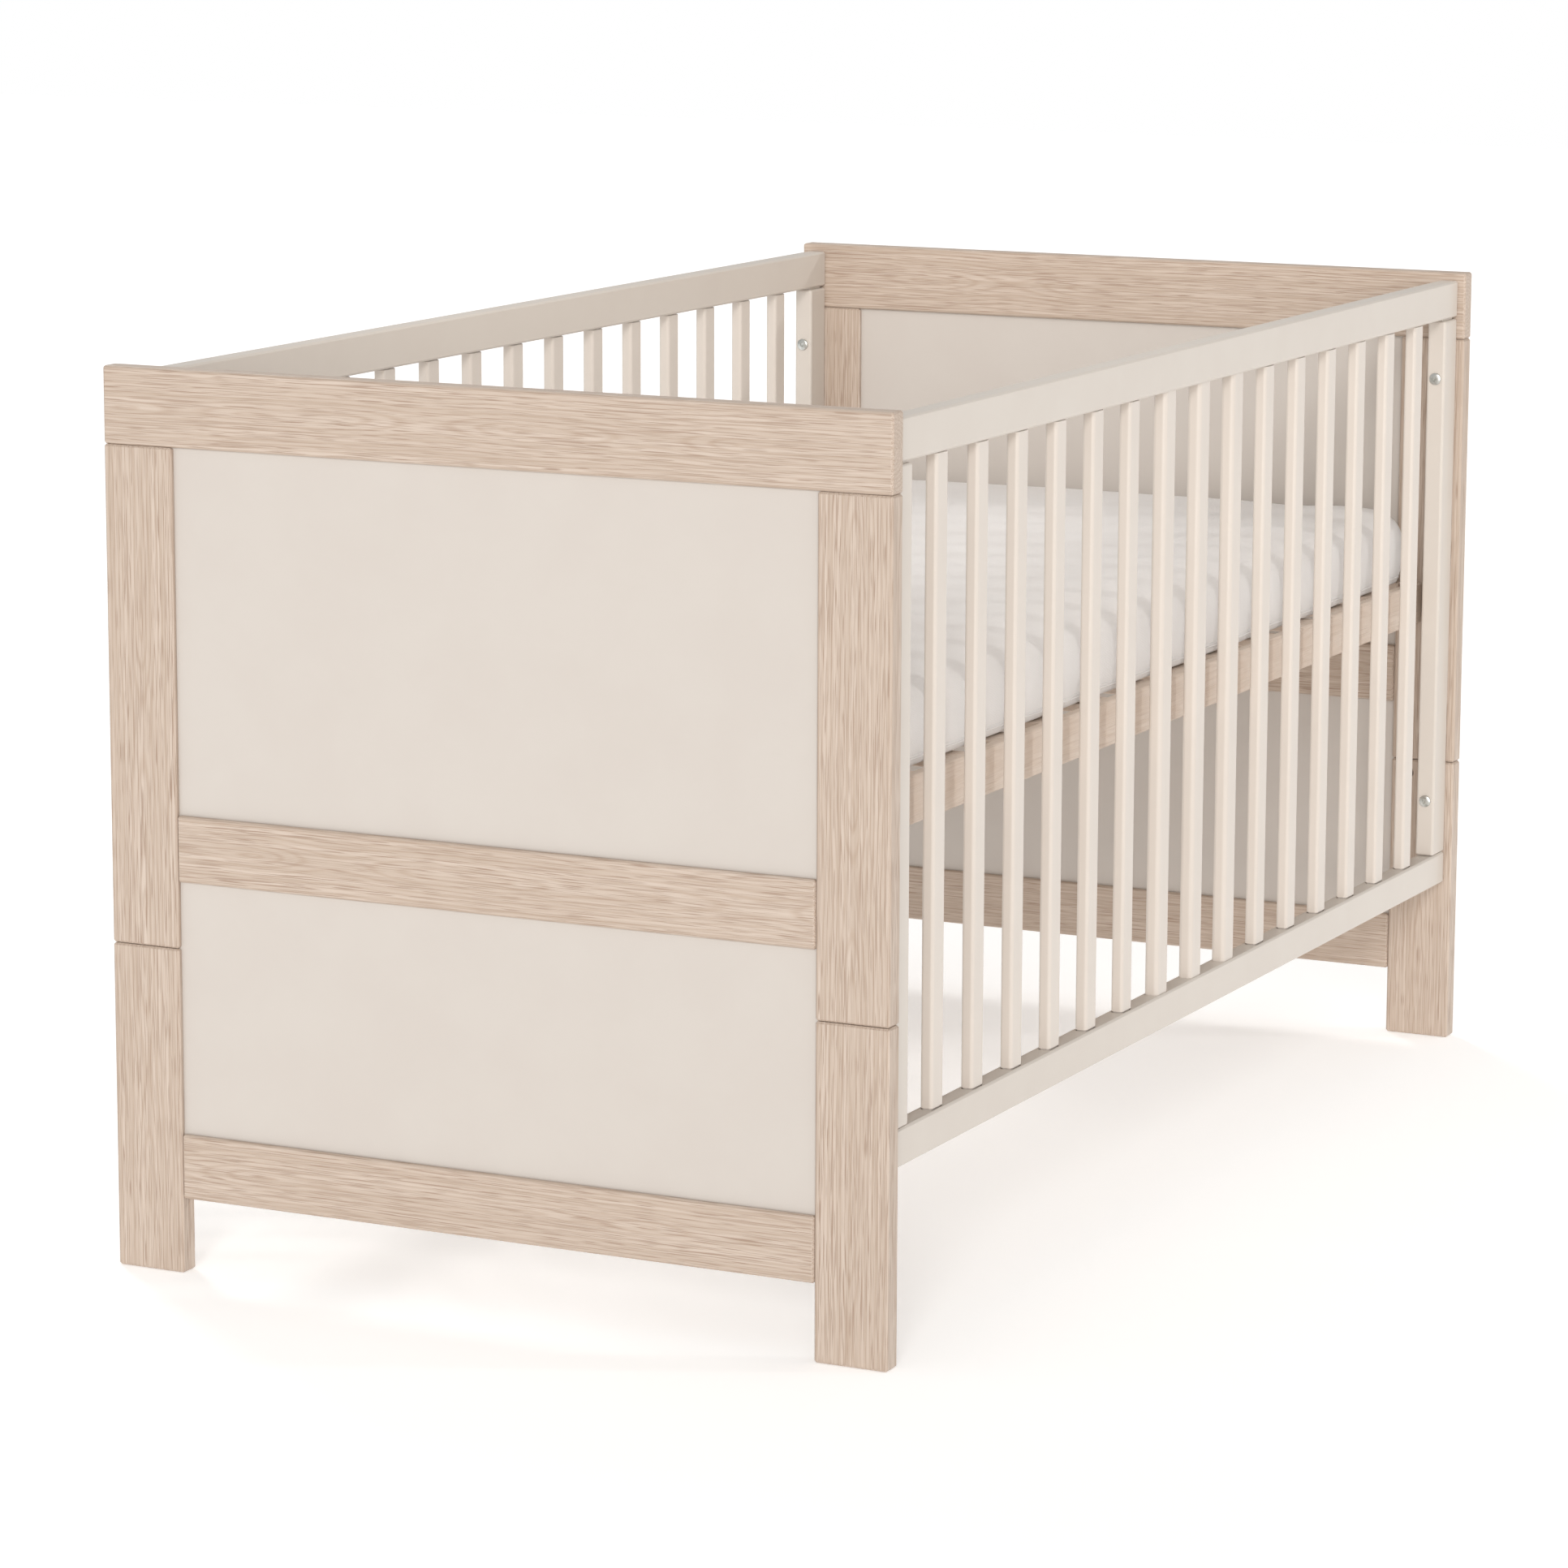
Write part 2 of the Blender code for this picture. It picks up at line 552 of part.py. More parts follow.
def slat_deck(name, parent, wood):
    """The slats, held at an even pitch by two webbing straps under them, as one rolled-out deck."""
    inside = BASE_HALF_LENGTH - BASE_RAIL_DEPTH
    pitch = (2 * inside + SLAT_WIDTH) / (SLAT_COUNT + 1)
    last = pitch * (SLAT_COUNT - 1) / 2
    half = BASE_HALF_WIDTH - BASE_RAIL_DEPTH + REBATE_WIDE - GAP
    points, faces = [], []
    for index in range(SLAT_COUNT):
        y = index * pitch - last
        low, high = y - SLAT_WIDTH / 2, y + SLAT_WIDTH / 2
        outline = ((-half, low), (half, low), (half, high), (-half, high))
        more_points, more_faces = prism_data(outline, -SLAT_THICK, 0.0, len(points))
        points += more_points
        faces += more_faces
    deck = place(name, mesh_of(name, points, faces), parent, (0.0, 0.0, 0.0), wood)
    reach = last + SLAT_WIDTH / 2
    for sign in (-1, 1):
        x_low, x_high = span(sign, half - WEBBING_INSET - WEBBING_WIDTH, half - WEBBING_INSET)
        low = (x_low, -reach, -SLAT_THICK - WEBBING_THICK)
        add_box(deck, parent, f"webbing{sign + 1}", low, (x_high, reach, -SLAT_THICK + WEBBING_BITE))


def base_pins(parent, steel, names_x, names_y):
    """Four steel pins in the long rails' ends, which hold the base at its height."""
    stand_out = BASE_END_GAP - PIN_END_GAP
    mesh = turned_mesh("base_pin", ((PIN_RADIUS, -PIN_LENGTH), (PIN_RADIUS, stand_out)))
    mesh.materials.append(steel)
    for sign_x, side_name in zip((-1, 1), names_x):
        for sign_y, end_name in zip((-1, 1), names_y):
            spot = (sign_x * BASE_RAIL_X, sign_y * BASE_HALF_LENGTH, -BASE_RAIL_HEIGHT / 2)
            pin = place(f"base_{side_name}_{end_name}_pin", mesh, parent, spot)
            pin.rotation_euler = (0.0, 0.0, 0.0 if sign_y > 0 else math.pi)


def slatted_base(finishes):
    """The base frame with its slats, pins and mattress; its carrier sits on the height slide's axis."""
    carrier = empty("slatted_base", (0.0, 0.0, BASE_TOP_Z))
    wood = finishes["bare_wood"]
    for sign, where in ((-1, "left"), (1, "right")):
        base_long_rail(f"base_{where}_rail", carrier, wood, sign)
    for sign, where in ((-1, "foot"), (1, "head")):
        base_cross_rail(f"base_{where}_rail", carrier, wood, sign)
    slat_deck("slat_deck", carrier, wood)
    base_pins(carrier, finishes["zinc_steel"], ("left", "right"), ("foot", "head"))
    half_x = BASE_HALF_WIDTH - MATTRESS_SIDE_GAP
    half_y = INNER_HALF_LENGTH - MATTRESS_END_GAP
    low = (-half_x, -half_y, GAP)
    high = (half_x, half_y, GAP + MATTRESS_THICK)
    box("mattress", carrier, low, high, finishes["cotton_cover"], MATTRESS_ROUND)


def main():
    """Builds the crib."""
    clear_scene()
    finishes = make_finishes()
    end_panel("footboard", 0.0, ("left", "right"), finishes)
    end_panel("headboard", math.pi, ("right", "left"), finishes)
    side("right_side", 0.0, ("foot", "head"), finishes, True)
    side("left_side", math.pi, ("head", "foot"), finishes, False)
    slatted_base(finishes)


main()
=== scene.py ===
"""Baby crib with panelled ends, barred sides, a slatted base and a mattress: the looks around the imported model."""

from __future__ import annotations

import logging
import math
from dataclasses import dataclass, field
from enum import Enum
from functools import cache

import bmesh
import bpy
from mathutils import Matrix, Vector, noise
from mathutils.bvhtree import BVHTree


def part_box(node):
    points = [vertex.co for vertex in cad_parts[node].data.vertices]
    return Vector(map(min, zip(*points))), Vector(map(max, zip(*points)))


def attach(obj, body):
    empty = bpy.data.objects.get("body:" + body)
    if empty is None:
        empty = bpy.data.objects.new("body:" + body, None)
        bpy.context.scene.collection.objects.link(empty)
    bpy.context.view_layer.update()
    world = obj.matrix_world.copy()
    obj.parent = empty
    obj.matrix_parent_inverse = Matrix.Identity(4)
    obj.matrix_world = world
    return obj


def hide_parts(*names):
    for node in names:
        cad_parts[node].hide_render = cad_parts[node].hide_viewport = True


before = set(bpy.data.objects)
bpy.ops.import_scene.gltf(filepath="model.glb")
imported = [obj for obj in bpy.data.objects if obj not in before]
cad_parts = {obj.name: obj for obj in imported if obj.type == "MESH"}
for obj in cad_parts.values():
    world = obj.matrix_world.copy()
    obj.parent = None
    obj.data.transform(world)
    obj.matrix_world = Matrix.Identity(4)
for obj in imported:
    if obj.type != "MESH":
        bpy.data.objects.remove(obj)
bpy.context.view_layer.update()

log = logging.getLogger("baby_crib")
Colour = tuple[float, float, float]
Outline = list[tuple[float, float]]
Pair = tuple[float, float]
Point = tuple[float, float, float]


class Axis(Enum):
    """A direction of the crib: across it, along it, or up."""

    X = 0
    Y = 1
    Z = 2


class End(Enum):
    """The two panelled ends, by the sign of Y that each stands at."""

    FOOT = -1
    HEAD = 1


class Side(Enum):
    """The two barred sides, by the sign of X that each stands at."""

    LEFT = -1
    RIGHT = 1


class Body(str, Enum):
    """The bodies that pieces ride on."""

    FRAME = "frame"
    BASE = "bed_base"


class Slot(str, Enum):
    """The material slots of the record."""

    ELM = "elm_decor"
    CREAM = "cream_lacquer"
    BARE = "bare_wood"
    ZINC = "zinc_steel"
    COTTON = "cotton_cover"


def linear(red: int, green: int, blue: int) -> Colour:
    """Turns a screen colour into the linear one that shaders take.

    Args:
        red: Red, from 0 to 255.
        green: Green, from 0 to 255.
        blue: Blue, from 0 to 255.

    Returns:
        The linear colour, from 0 to 1.
    """
    return tuple(
        c / 12.92 if c <= 0.04045 else ((c + 0.055) / 1.055) ** 2.4
        for c in (red / 255, green / 255, blue / 255)
    )


# --- Node graphs -------------------------------------------------------------


class Graph:
    """A node tree that is being wired up."""

    def __init__(self, tree: bpy.types.NodeTree) -> None:
        """Takes the tree to add to."""
        self.tree = tree

    def add(self, kind: str, inputs: dict | None = None, **settings: object) -> bpy.types.Node:
        """Adds one node.

        Args:
            kind: The node's type, without the ShaderNode at its front.
            inputs: Sockets to link, or plain values, by the input's name or number.
            **settings: The node's own options.

        Returns:
            The new node.
        """
        node = self.tree.nodes.new("ShaderNode" + kind)
        for name, value in settings.items():
            setattr(node, name, value)
        for key, value in (inputs or {}).items():
            if isinstance(value, bpy.types.NodeSocket):
                self.tree.links.new(value, node.inputs[key])
            else:
                node.inputs[key].default_value = value
        return node

    def math(self, operation: str, first: object, second: object = 0.0) -> bpy.types.NodeSocket:
        """One step of arithmetic on single values.

        Args:
            operation: The Math node's operation.
            first: The first socket or number.
            second: The second socket or number.

        Returns:
            The result's socket.
        """
        return self.add("Math", {0: first, 1: second}, operation=operation).outputs[0]

    def vector(self, operation: str, first: object, second: object) -> bpy.types.NodeSocket:
        """One step of arithmetic on vectors.

        Args:
            operation: The Vector Math node's operation.
            first: The first socket or vector.
            second: The second socket or vector.

        Returns:
            The result's socket.
        """
        return self.add("VectorMath", {0: first, 1: second}, operation=operation).outputs[0]

    def ramp(
        self, value: object, low: float, high: float, start: float = 0.0, stop: float = 1.0
    ) -> bpy.types.NodeSocket:
        """Eases a value from one range into another.

        Args:
            value: The socket to ease.
            low: Where the ease begins.
            high: Where it ends.
            start: What comes out at low.
            stop: What comes out at high.

        Returns:
            The eased value's socket.
        """
        inputs = {"Value": value, "From Min": low, "From Max": high, "To Min": start, "To Max": stop}
        return self.add("MapRange", inputs, interpolation_type="SMOOTHSTEP").outputs[0]

    def speckle(
        self, vector: object, scale: object, detail: float = 2.0, roughness: float = 0.5
    ) -> bpy.types.NodeSocket:
        """Smooth noise.

        Args:
            vector: Where it is looked up.
            scale: How many cells fit in a metre, or in one unit of the vector.
            detail: How many finer layers lie on it.
            roughness: How strong those layers are.

        Returns:
            The noise's value socket.
        """
        inputs = {"Vector": vector, "Scale": scale, "Detail": detail, "Roughness": roughness}
        return self.add("TexNoise", inputs).outputs[0]

    def mix(self, factor: object, first: object, second: object, blend: str = "MIX") -> bpy.types.NodeSocket:
        """Mixes two colours.

        Args:
            factor: How much of the second shows.
            first: The first colour or socket.
            second: The second colour or socket.
            blend: The Mix node's way of blending.

        Returns:
            The mixed colour's socket.
        """
        node = self.add("Mix", data_type="RGBA", blend_type=blend)
        for key, value in ((0, factor), (6, first), (7, second)):
            if isinstance(value, bpy.types.NodeSocket):
                self.tree.links.new(value, node.inputs[key])
            else:
                node.inputs[key].default_value = (*value, 1.0) if isinstance(value, tuple) else value
        return node.outputs[2]

    def group(self, tree: bpy.types.NodeTree, **inputs: object) -> bpy.types.Node:
        """Places a shader node group with its own values.

        Args:
            tree: The group's tree.
            **inputs: Its inputs by name, with _ for a space.

        Returns:
            The group's node.
        """
        node = self.add("Group")
        node.node_tree = tree
        for name, value in inputs.items():
            socket = node.inputs[name.replace("_", " ")]
            if isinstance(value, bpy.types.NodeSocket):
                self.tree.links.new(value, socket)
            else:
                socket.default_value = value
        return node


class Effects:
    """The shader node groups that several finishes share, each built once."""

    @staticmethod
    def _begin(
        name: str, takes: dict[str, float | None], gives: dict[str, str]
    ) -> tuple[Graph, bpy.types.Node, bpy.types.Node]:
        """Starts a group with its sockets.

        Args:
            name: The group's name.
            takes: Its inputs and their usual values; None marks a vector.
            gives: Its outputs, by name, as Float, Color or Vector.

        Returns:
            The graph, the inputs' node and the outputs' node.
        """
        tree = bpy.data.node_groups.new(name, "ShaderNodeTree")
        for label, value in takes.items():
            kind = "NodeSocketVector" if value is None else "NodeSocketFloat"
            made = tree.interface.new_socket(label, in_out="INPUT", socket_type=kind)
            if value is not None:
                made.default_value = value
        for label, kind in gives.items():
            tree.interface.new_socket(label, in_out="OUTPUT", socket_type="NodeSocket" + kind)
        return Graph(tree), tree.nodes.new("NodeGroupInput"), tree.nodes.new("NodeGroupOutput")

    @staticmethod
    @cache
    def grain() -> bpy.types.NodeTree:
        """Wood grain: X across the face, Y through it and Z along it; pores, soft bands and arched rings."""
        takes = {
            "Vector": None, "Pore Length": 0.02, "Pore Width": 0.0007,
            "Band Width": 0.009, "Ring Spacing": 0.006, "Ring Depth": 0.05,
        }
        gives = dict.fromkeys(("Pores", "Bands", "Rings", "Height"), "Float")
        g, given, out = Effects._begin("Wood Grain", takes, gives)
        place = given.outputs["Vector"]
        parts = g.add("SeparateXYZ", {0: place}).outputs
        drift = g.speckle(g.vector("MULTIPLY", place, (5.0, 5.0, 1.3)), 1.0, 1.0)
        wander = g.math("MULTIPLY", g.math("SUBTRACT", drift, 0.5), 0.012)
        across = g.math("ADD", parts[0], wander)
        through = g.math("ADD", parts[1], g.math("MULTIPLY", wander, 0.5))

        def streak(wide: object, long: object, detail: float) -> bpy.types.NodeSocket:
            """Noise drawn out along the grain: wide and long are its cell in metres."""
            ways = ((across, wide), (through, wide), (parts[2], long))
            cell = {i: g.math("DIVIDE", way, size) for i, (way, size) in enumerate(ways)}
            return g.speckle(g.add("CombineXYZ", cell).outputs[0], 1.0, detail, 0.55)

        width, length = given.outputs["Pore Width"], given.outputs["Pore Length"]
        fine = streak(width, length, 0.0)
        coarse = streak(g.math("MULTIPLY", width, 1.35), g.math("MULTIPLY", length, 2.4), 0.0)
        where = streak(given.outputs["Band Width"], g.math("MULTIPLY", length, 12.0), 2.0)
        pores = g.math("MAXIMUM", g.ramp(fine, 0.54, 0.74), g.ramp(coarse, 0.56, 0.78, 0.0, 0.8))
        pores = g.math("MULTIPLY", pores, g.ramp(where, 0.30, 0.66, 0.5, 1.0))
        along = {"W": g.math("MULTIPLY", parts[2], 3.1), "Scale": 1.0, "Detail": 1.0}
        deep = g.math("SUBTRACT", g.add("TexNoise", along, noise_dimensions="1D").outputs[0], 0.35)
        deep = g.math("ADD", g.math("MULTIPLY", deep, given.outputs["Ring Depth"]), through)
        radius = g.math("SQRT", g.math("ADD", g.math("MULTIPLY", across, across), g.math("MULTIPLY", deep, deep)))
        turns = g.math("ADD", g.math("DIVIDE", radius, given.outputs["Ring Spacing"]), g.math("MULTIPLY", where, 0.35))
        rings = g.ramp(g.math("PINGPONG", turns, 0.5), 0.18, 0.5)
        for label, value in (("Pores", pores), ("Bands", where), ("Rings", rings)):
            g.tree.links.new(value, out.inputs[label])
        height = g.math("SUBTRACT", g.math("MULTIPLY", fine, 0.35), pores)
        g.tree.links.new(height, out.inputs["Height"])
        return g.tree

    @staticmethod
    @cache
    def edge_wear() -> bpy.types.NodeTree:
        """A mask of the edges, broken up by noise: worn edges on the steel, lighter edges on the bare wood, painted
        shade on the elm decor's edges and a painted highlight on the lacquer's edges.
        """
        takes = {"Vector": None, "Radius": 0.0015, "Breakup": 90.0}
        g, given, out = Effects._begin("Edge Wear", takes, {"Mask": "Float"})
        soft = g.add("Bevel", {"Radius": given.outputs["Radius"]}, samples=4).outputs[0]
        plain = g.add("NewGeometry").outputs["Normal"]
        same = g.add("VectorMath", {0: soft, 1: plain}, operation="DOT_PRODUCT").outputs["Value"]
        turn = g.math("SUBTRACT", 1.0, same)
        broken = g.ramp(g.speckle(given.outputs["Vector"], given.outputs["Breakup"], 3.0, 0.6), 0.35, 0.7, 0.35, 1.0)
        mask = g.math("MULTIPLY", g.ramp(turn, 0.02, 0.22), broken)
        g.tree.links.new(mask, out.inputs["Mask"])
        return g.tree

    @staticmethod
    @cache
    def dust() -> bpy.types.NodeTree:
        """A faint film of dust that lies thicker on faces that look up."""
        g, given, out = Effects._begin("Dust", {"Vector": None, "Patch Size": 0.05}, {"Mask": "Float"})
        up = g.add("SeparateXYZ", {0: g.add("NewGeometry").outputs["Normal"]}).outputs[2]
        cell = g.math("DIVIDE", 1.0, given.outputs["Patch Size"])
        patch = g.ramp(g.speckle(given.outputs["Vector"], cell, 4.0, 0.65), 0.35, 0.75)
        specks = g.ramp(g.speckle(given.outputs["Vector"], 900.0, 1.0), 0.62, 0.72)
        film = g.math("ADD", g.math("MULTIPLY", patch, 0.7), g.math("MULTIPLY", specks, 0.3))
        g.tree.links.new(g.math("MULTIPLY", film, g.ramp(up, 0.2, 1.0, 0.12, 1.0)), out.inputs["Mask"])
        return g.tree

    @staticmethod
    @cache
    def ripple() -> bpy.types.NodeTree:
        """The faint unevenness of a sprayed or rolled film."""
        takes = {"Vector": None, "Cell": 0.0025, "Wave": 0.06}
        g, given, out = Effects._begin("Film Ripple", takes, {"Height": "Float", "Cloud": "Float"})
        place = given.outputs["Vector"]
        peel = g.speckle(place, g.math("DIVIDE", 1.0, given.outputs["Cell"]), 2.0, 0.5)
        cloud = g.speckle(place, g.math("DIVIDE", 1.0, given.outputs["Wave"]), 3.0, 0.55)
        g.tree.links.new(g.math("ADD", g.math("MULTIPLY", peel, 0.4), cloud), out.inputs["Height"])
        g.tree.links.new(cloud, out.inputs["Cloud"])
        return g.tree

    @staticmethod
    @cache
    def weave() -> bpy.types.NodeTree:
        """Cloth threads that pass over and under each other in the X and Y of their vector."""
        takes = {"Vector": None, "Thread": 0.0008, "Slub": 0.3}
        g, given, out = Effects._begin("Weave", takes, {"Height": "Float", "Threads": "Float"})
        place = given.outputs["Vector"]
        bend = g.vector("MULTIPLY", g.add("TexNoise", {"Vector": place, "Scale": 60.0}).outputs[1], (0.0005,) * 3)
        parts = g.add("SeparateXYZ", {0: g.vector("ADD", place, bend)}).outputs
        turns = [g.math("DIVIDE", parts[i], given.outputs["Thread"]) for i in (0, 1)]
        waves = [g.math("SINE", g.math("MULTIPLY", t, math.pi)) for t in turns]
        over = g.math("MULTIPLY", *waves)
        warp = g.math("MULTIPLY", g.math("ABSOLUTE", waves[0]), g.ramp(over, -0.4, 0.4, 0.55, 1.0))
        weft = g.math("MULTIPLY", g.math("ABSOLUTE", waves[1]), g.ramp(over, -0.4, 0.4, 1.0, 0.55))
        lumps = g.speckle(place, 420.0, 2.0)
        height = g.math("ADD", g.math("MAXIMUM", warp, weft), g.math("MULTIPLY", lumps, given.outputs["Slub"]))
        g.tree.links.new(height, out.inputs["Height"])
        g.tree.links.new(g.ramp(over, -0.8, 0.8), out.inputs["Threads"])
        return g.tree


# --- Finishes ----------------------------------------------------------------


@dataclass(frozen=True)
class Finish:
    """A surface's colour and gloss, and the material that shows them."""

    name: str
    colour: Colour
    roughness: float

    def _open(self, label: str) -> tuple[bpy.types.Material, Graph, bpy.types.Node, bpy.types.NodeSocket]:
        """Starts a material.

        Args:
            label: What is added to the finish's name.

        Returns:
            The material, its graph, its shader node and the object coordinates' socket.
        """
        made = bpy.data.materials.new(f"{self.name}{label}")
        made.use_nodes = True
        graph = Graph(made.node_tree)
        shader = made.node_tree.nodes["Principled BSDF"]
        made.diffuse_color = (*self.colour, 1.0)
        return made, graph, shader, graph.add("TexCoord").outputs["Object"]

    def _bump(self, graph: Graph, shader: bpy.types.Node, height: bpy.types.NodeSocket, depth: float) -> None:
        """Feeds a height into the shader's normal.

        Args:
            graph: The material's graph.
            shader: Its shader node.
            height: The height's socket.
            depth: How deep a height of one is, in metres.
        """
        bump = graph.add("Bump", {"Distance": depth, "Height": height})
        graph.tree.links.new(bump.outputs[0], shader.inputs["Normal"])


@dataclass(frozen=True)
class WoodFinish(Finish):
    """Wood or a printed wood decor, cut with its grain along one direction of a piece."""

    pore: Colour
    band: Colour
    ring: Colour
    pore_length: float
    pore_width: float
    band_width: float
    ring_spacing: float
    pore_share: float
    band_share: float
    ring_share: float
    relief: float
    coat: float
    edge: Colour
    edge_share: float

    def cut(self, label: str, along: Axis, across: Axis, centre: Vector) -> bpy.types.Material:
        """Makes the material for one piece.

        Args:
            label: The piece's name.
            along: The direction that its grain runs in.
            across: The direction of its face's width.
            centre: The middle of the piece.

        Returns:
            The material.
        """
        made, g, shader, place = self._open(f"_{label}")
        parts = g.add("SeparateXYZ", {0: g.vector("SUBTRACT", place, tuple(centre))}).outputs
        through = next(a for a in Axis if a not in (along, across))
        shift = 7.3 * (noise.noise(centre * 13.7) + centre.x + 2.0 * centre.z)
        run = g.math("ADD", parts[along.value], shift)
        board = g.add("CombineXYZ", {0: parts[across.value], 1: parts[through.value], 2: run}).outputs[0]
        grain = g.group(
            Effects.grain(), Vector=board, Pore_Length=self.pore_length, Pore_Width=self.pore_width,
            Band_Width=self.band_width, Ring_Spacing=self.ring_spacing,
        ).outputs
        tone = g.mix(g.ramp(grain["Bands"], 0.25, 0.75, 0.0, self.band_share), self.colour, self.band)
        tone = g.mix(g.math("MULTIPLY", grain["Rings"], self.ring_share), tone, self.ring)
        tone = g.mix(g.math("MULTIPLY", grain["Pores"], self.pore_share), tone, self.pore)
        # Every edge is mixed towards the edge colour: on the elm decor a dark brown, partly the decor's darker edge
        # line and partly painted shade for the shadows in the grooves between members; on the bare wood a little
        # lighter.
        edge_mask = g.group(Effects.edge_wear(), Vector=place, Radius=0.0012, Breakup=70.0).outputs["Mask"]
        tone = g.mix(g.math("MULTIPLY", edge_mask, self.edge_share), tone, self.edge)
        dust = g.group(Effects.dust(), Vector=place, Patch_Size=0.045).outputs["Mask"]
        tone = g.mix(g.math("MULTIPLY", dust, 0.05), tone, (0.75, 0.73, 0.70))
        g.tree.links.new(tone, shader.inputs["Base Color"])
        rough = g.math("ADD", self.roughness, g.math("MULTIPLY", g.math("ADD", grain["Pores"], dust), 0.12))
        g.tree.links.new(rough, shader.inputs["Roughness"])
        shader.inputs["Specular IOR Level"].default_value = 0.4
        shader.inputs["Coat Weight"].default_value = self.coat
        shader.inputs["Coat Roughness"].default_value = 0.35
        self._bump(g, shader, grain["Height"], self.relief)
        return made


@dataclass(frozen=True)
class LacquerFinish(Finish):
    """A satin lacquer over a smooth board or a sanded bar."""

    shade: Colour
    edge: Colour
    edge_radius: float
    edge_share: float

    def make(self, label: str = "") -> bpy.types.Material:
        """Makes the material.

        Args:
            label: What is added to the finish's name.

        Returns:
            The material.
        """
        made, g, shader, place = self._open(label)
        film = g.group(Effects.ripple(), Vector=place, Cell=0.0028, Wave=0.07).outputs
        tone = g.mix(g.ramp(film["Cloud"], 0.3, 0.7, 0.0, 0.5), self.colour, self.shade)
        # Every edge is mixed towards the lighter edge colour: a painted highlight.
        edge_mask = g.group(Effects.edge_wear(), Vector=place, Radius=self.edge_radius, Breakup=55.0).outputs["Mask"]
        tone = g.mix(g.math("MULTIPLY", edge_mask, self.edge_share), tone, self.edge)
        dust = g.group(Effects.dust(), Vector=place, Patch_Size=0.06).outputs["Mask"]
        tone = g.mix(g.math("MULTIPLY", dust, 0.06), tone, (0.70, 0.67, 0.63))
        g.tree.links.new(tone, shader.inputs["Base Color"])
        uneven = g.math("ADD", g.math("MULTIPLY", film["Cloud"], 0.10), g.math("MULTIPLY", dust, 0.15))
        g.tree.links.new(g.math("ADD", self.roughness, uneven), shader.inputs["Roughness"])
        shader.inputs["Coat Weight"].default_value = 0.25
        shader.inputs["Coat Roughness"].default_value = 0.22
        self._bump(g, shader, film["Height"], 0.00008)
        return made


@dataclass(frozen=True)
class SteelFinish(Finish):
    """Bright zinc-plated steel with fine turning marks and a dull passivation."""

    dull: Colour

    def make(self, label: str = "") -> bpy.types.Material:
        """Makes the material.

        Args:
            label: What is added to the finish's name.

        Returns:
            The material.
        """
        made, g, shader, place = self._open(label)
        film = g.group(Effects.ripple(), Vector=place, Cell=0.0006, Wave=0.004).outputs
        edge_mask = g.group(Effects.edge_wear(), Vector=place, Radius=0.0005, Breakup=600.0).outputs["Mask"]
        tone = g.mix(g.ramp(film["Cloud"], 0.35, 0.7), self.colour, self.dull)
        tone = g.mix(g.math("MULTIPLY", edge_mask, 0.7), tone, (0.86, 0.86, 0.85))
        g.tree.links.new(tone, shader.inputs["Base Color"])
        scratch = g.speckle(g.vector("MULTIPLY", place, (9000.0, 600.0, 9000.0)), 1.0, 2.0)
        rough = g.math("ADD", self.roughness, g.math("MULTIPLY", g.math("ADD", scratch, film["Cloud"]), 0.12))
        g.tree.links.new(rough, shader.inputs["Roughness"])
        shader.inputs["Metallic"].default_value = 1.0
        self._bump(g, shader, g.math("ADD", scratch, film["Height"]), 0.00001)
        return made


@dataclass(frozen=True)
class ClothFinish(Finish):
    """Woven or knitted cloth, with its threads in two directions of the crib."""

    shadow: Colour
    thread: float
    slub: float
    relief: float
    sheen: float

    def make(self, label: str = "", flip: bool = False) -> bpy.types.Material:
        """Makes the material.

        Args:
            label: What is added to the finish's name.
            flip: Whether the threads are laid at 45 degrees, as in a twill tape.

        Returns:
            The material.
        """
        made, g, shader, place = self._open(label)
        normal = g.add("NewGeometry").outputs["Normal"]
        facing = g.add("SeparateXYZ", {0: g.add("VectorMath", {0: normal}, operation="ABSOLUTE").outputs[0]}).outputs
        parts = g.add("SeparateXYZ", {0: place}).outputs
        level = g.ramp(facing[2], 0.55, 0.85)
        long = g.add("Mix", {0: g.ramp(facing[1], 0.55, 0.85), 2: parts[1], 3: parts[0]}, data_type="FLOAT").outputs[0]
        first = g.add("Mix", {0: level, 2: long, 3: parts[0]}, data_type="FLOAT").outputs[0]
        second = g.add("Mix", {0: level, 2: parts[2], 3: parts[1]}, data_type="FLOAT").outputs[0]
        if flip:
            first, second = g.math("ADD", first, second), g.math("SUBTRACT", first, second)
        cloth = g.add("CombineXYZ", {0: first, 1: second, 2: parts[2]}).outputs[0]
        weave = g.group(Effects.weave(), Vector=cloth, Thread=self.thread, Slub=self.slub).outputs
        patch = g.speckle(place, 7.0, 3.0, 0.6)
        tone = g.mix(g.ramp(patch, 0.3, 0.75, 0.0, 0.5), self.colour, self.shadow)
        tone = g.mix(g.ramp(weave["Height"], 0.9, 0.3, 0.0, 0.55), tone, self.shadow)
        tone = g.mix(g.math("MULTIPLY", weave["Threads"], 0.12), tone, self.shadow)
        g.tree.links.new(tone, shader.inputs["Base Color"])
        rough = g.ramp(weave["Height"], 0.2, 1.2, self.roughness, self.roughness - 0.12)
        g.tree.links.new(rough, shader.inputs["Roughness"])
        shader.inputs["Specular IOR Level"].default_value = 0.2
        shader.inputs["Sheen Weight"].default_value = self.sheen
        shader.inputs["Sheen Roughness"].default_value = 0.5
        pucker = g.speckle(place, 46.0, 3.0, 0.55)
        self._bump(g, shader, g.math("ADD", weave["Height"], g.math("MULTIPLY", pucker, 1.2)), self.relief)
        return made
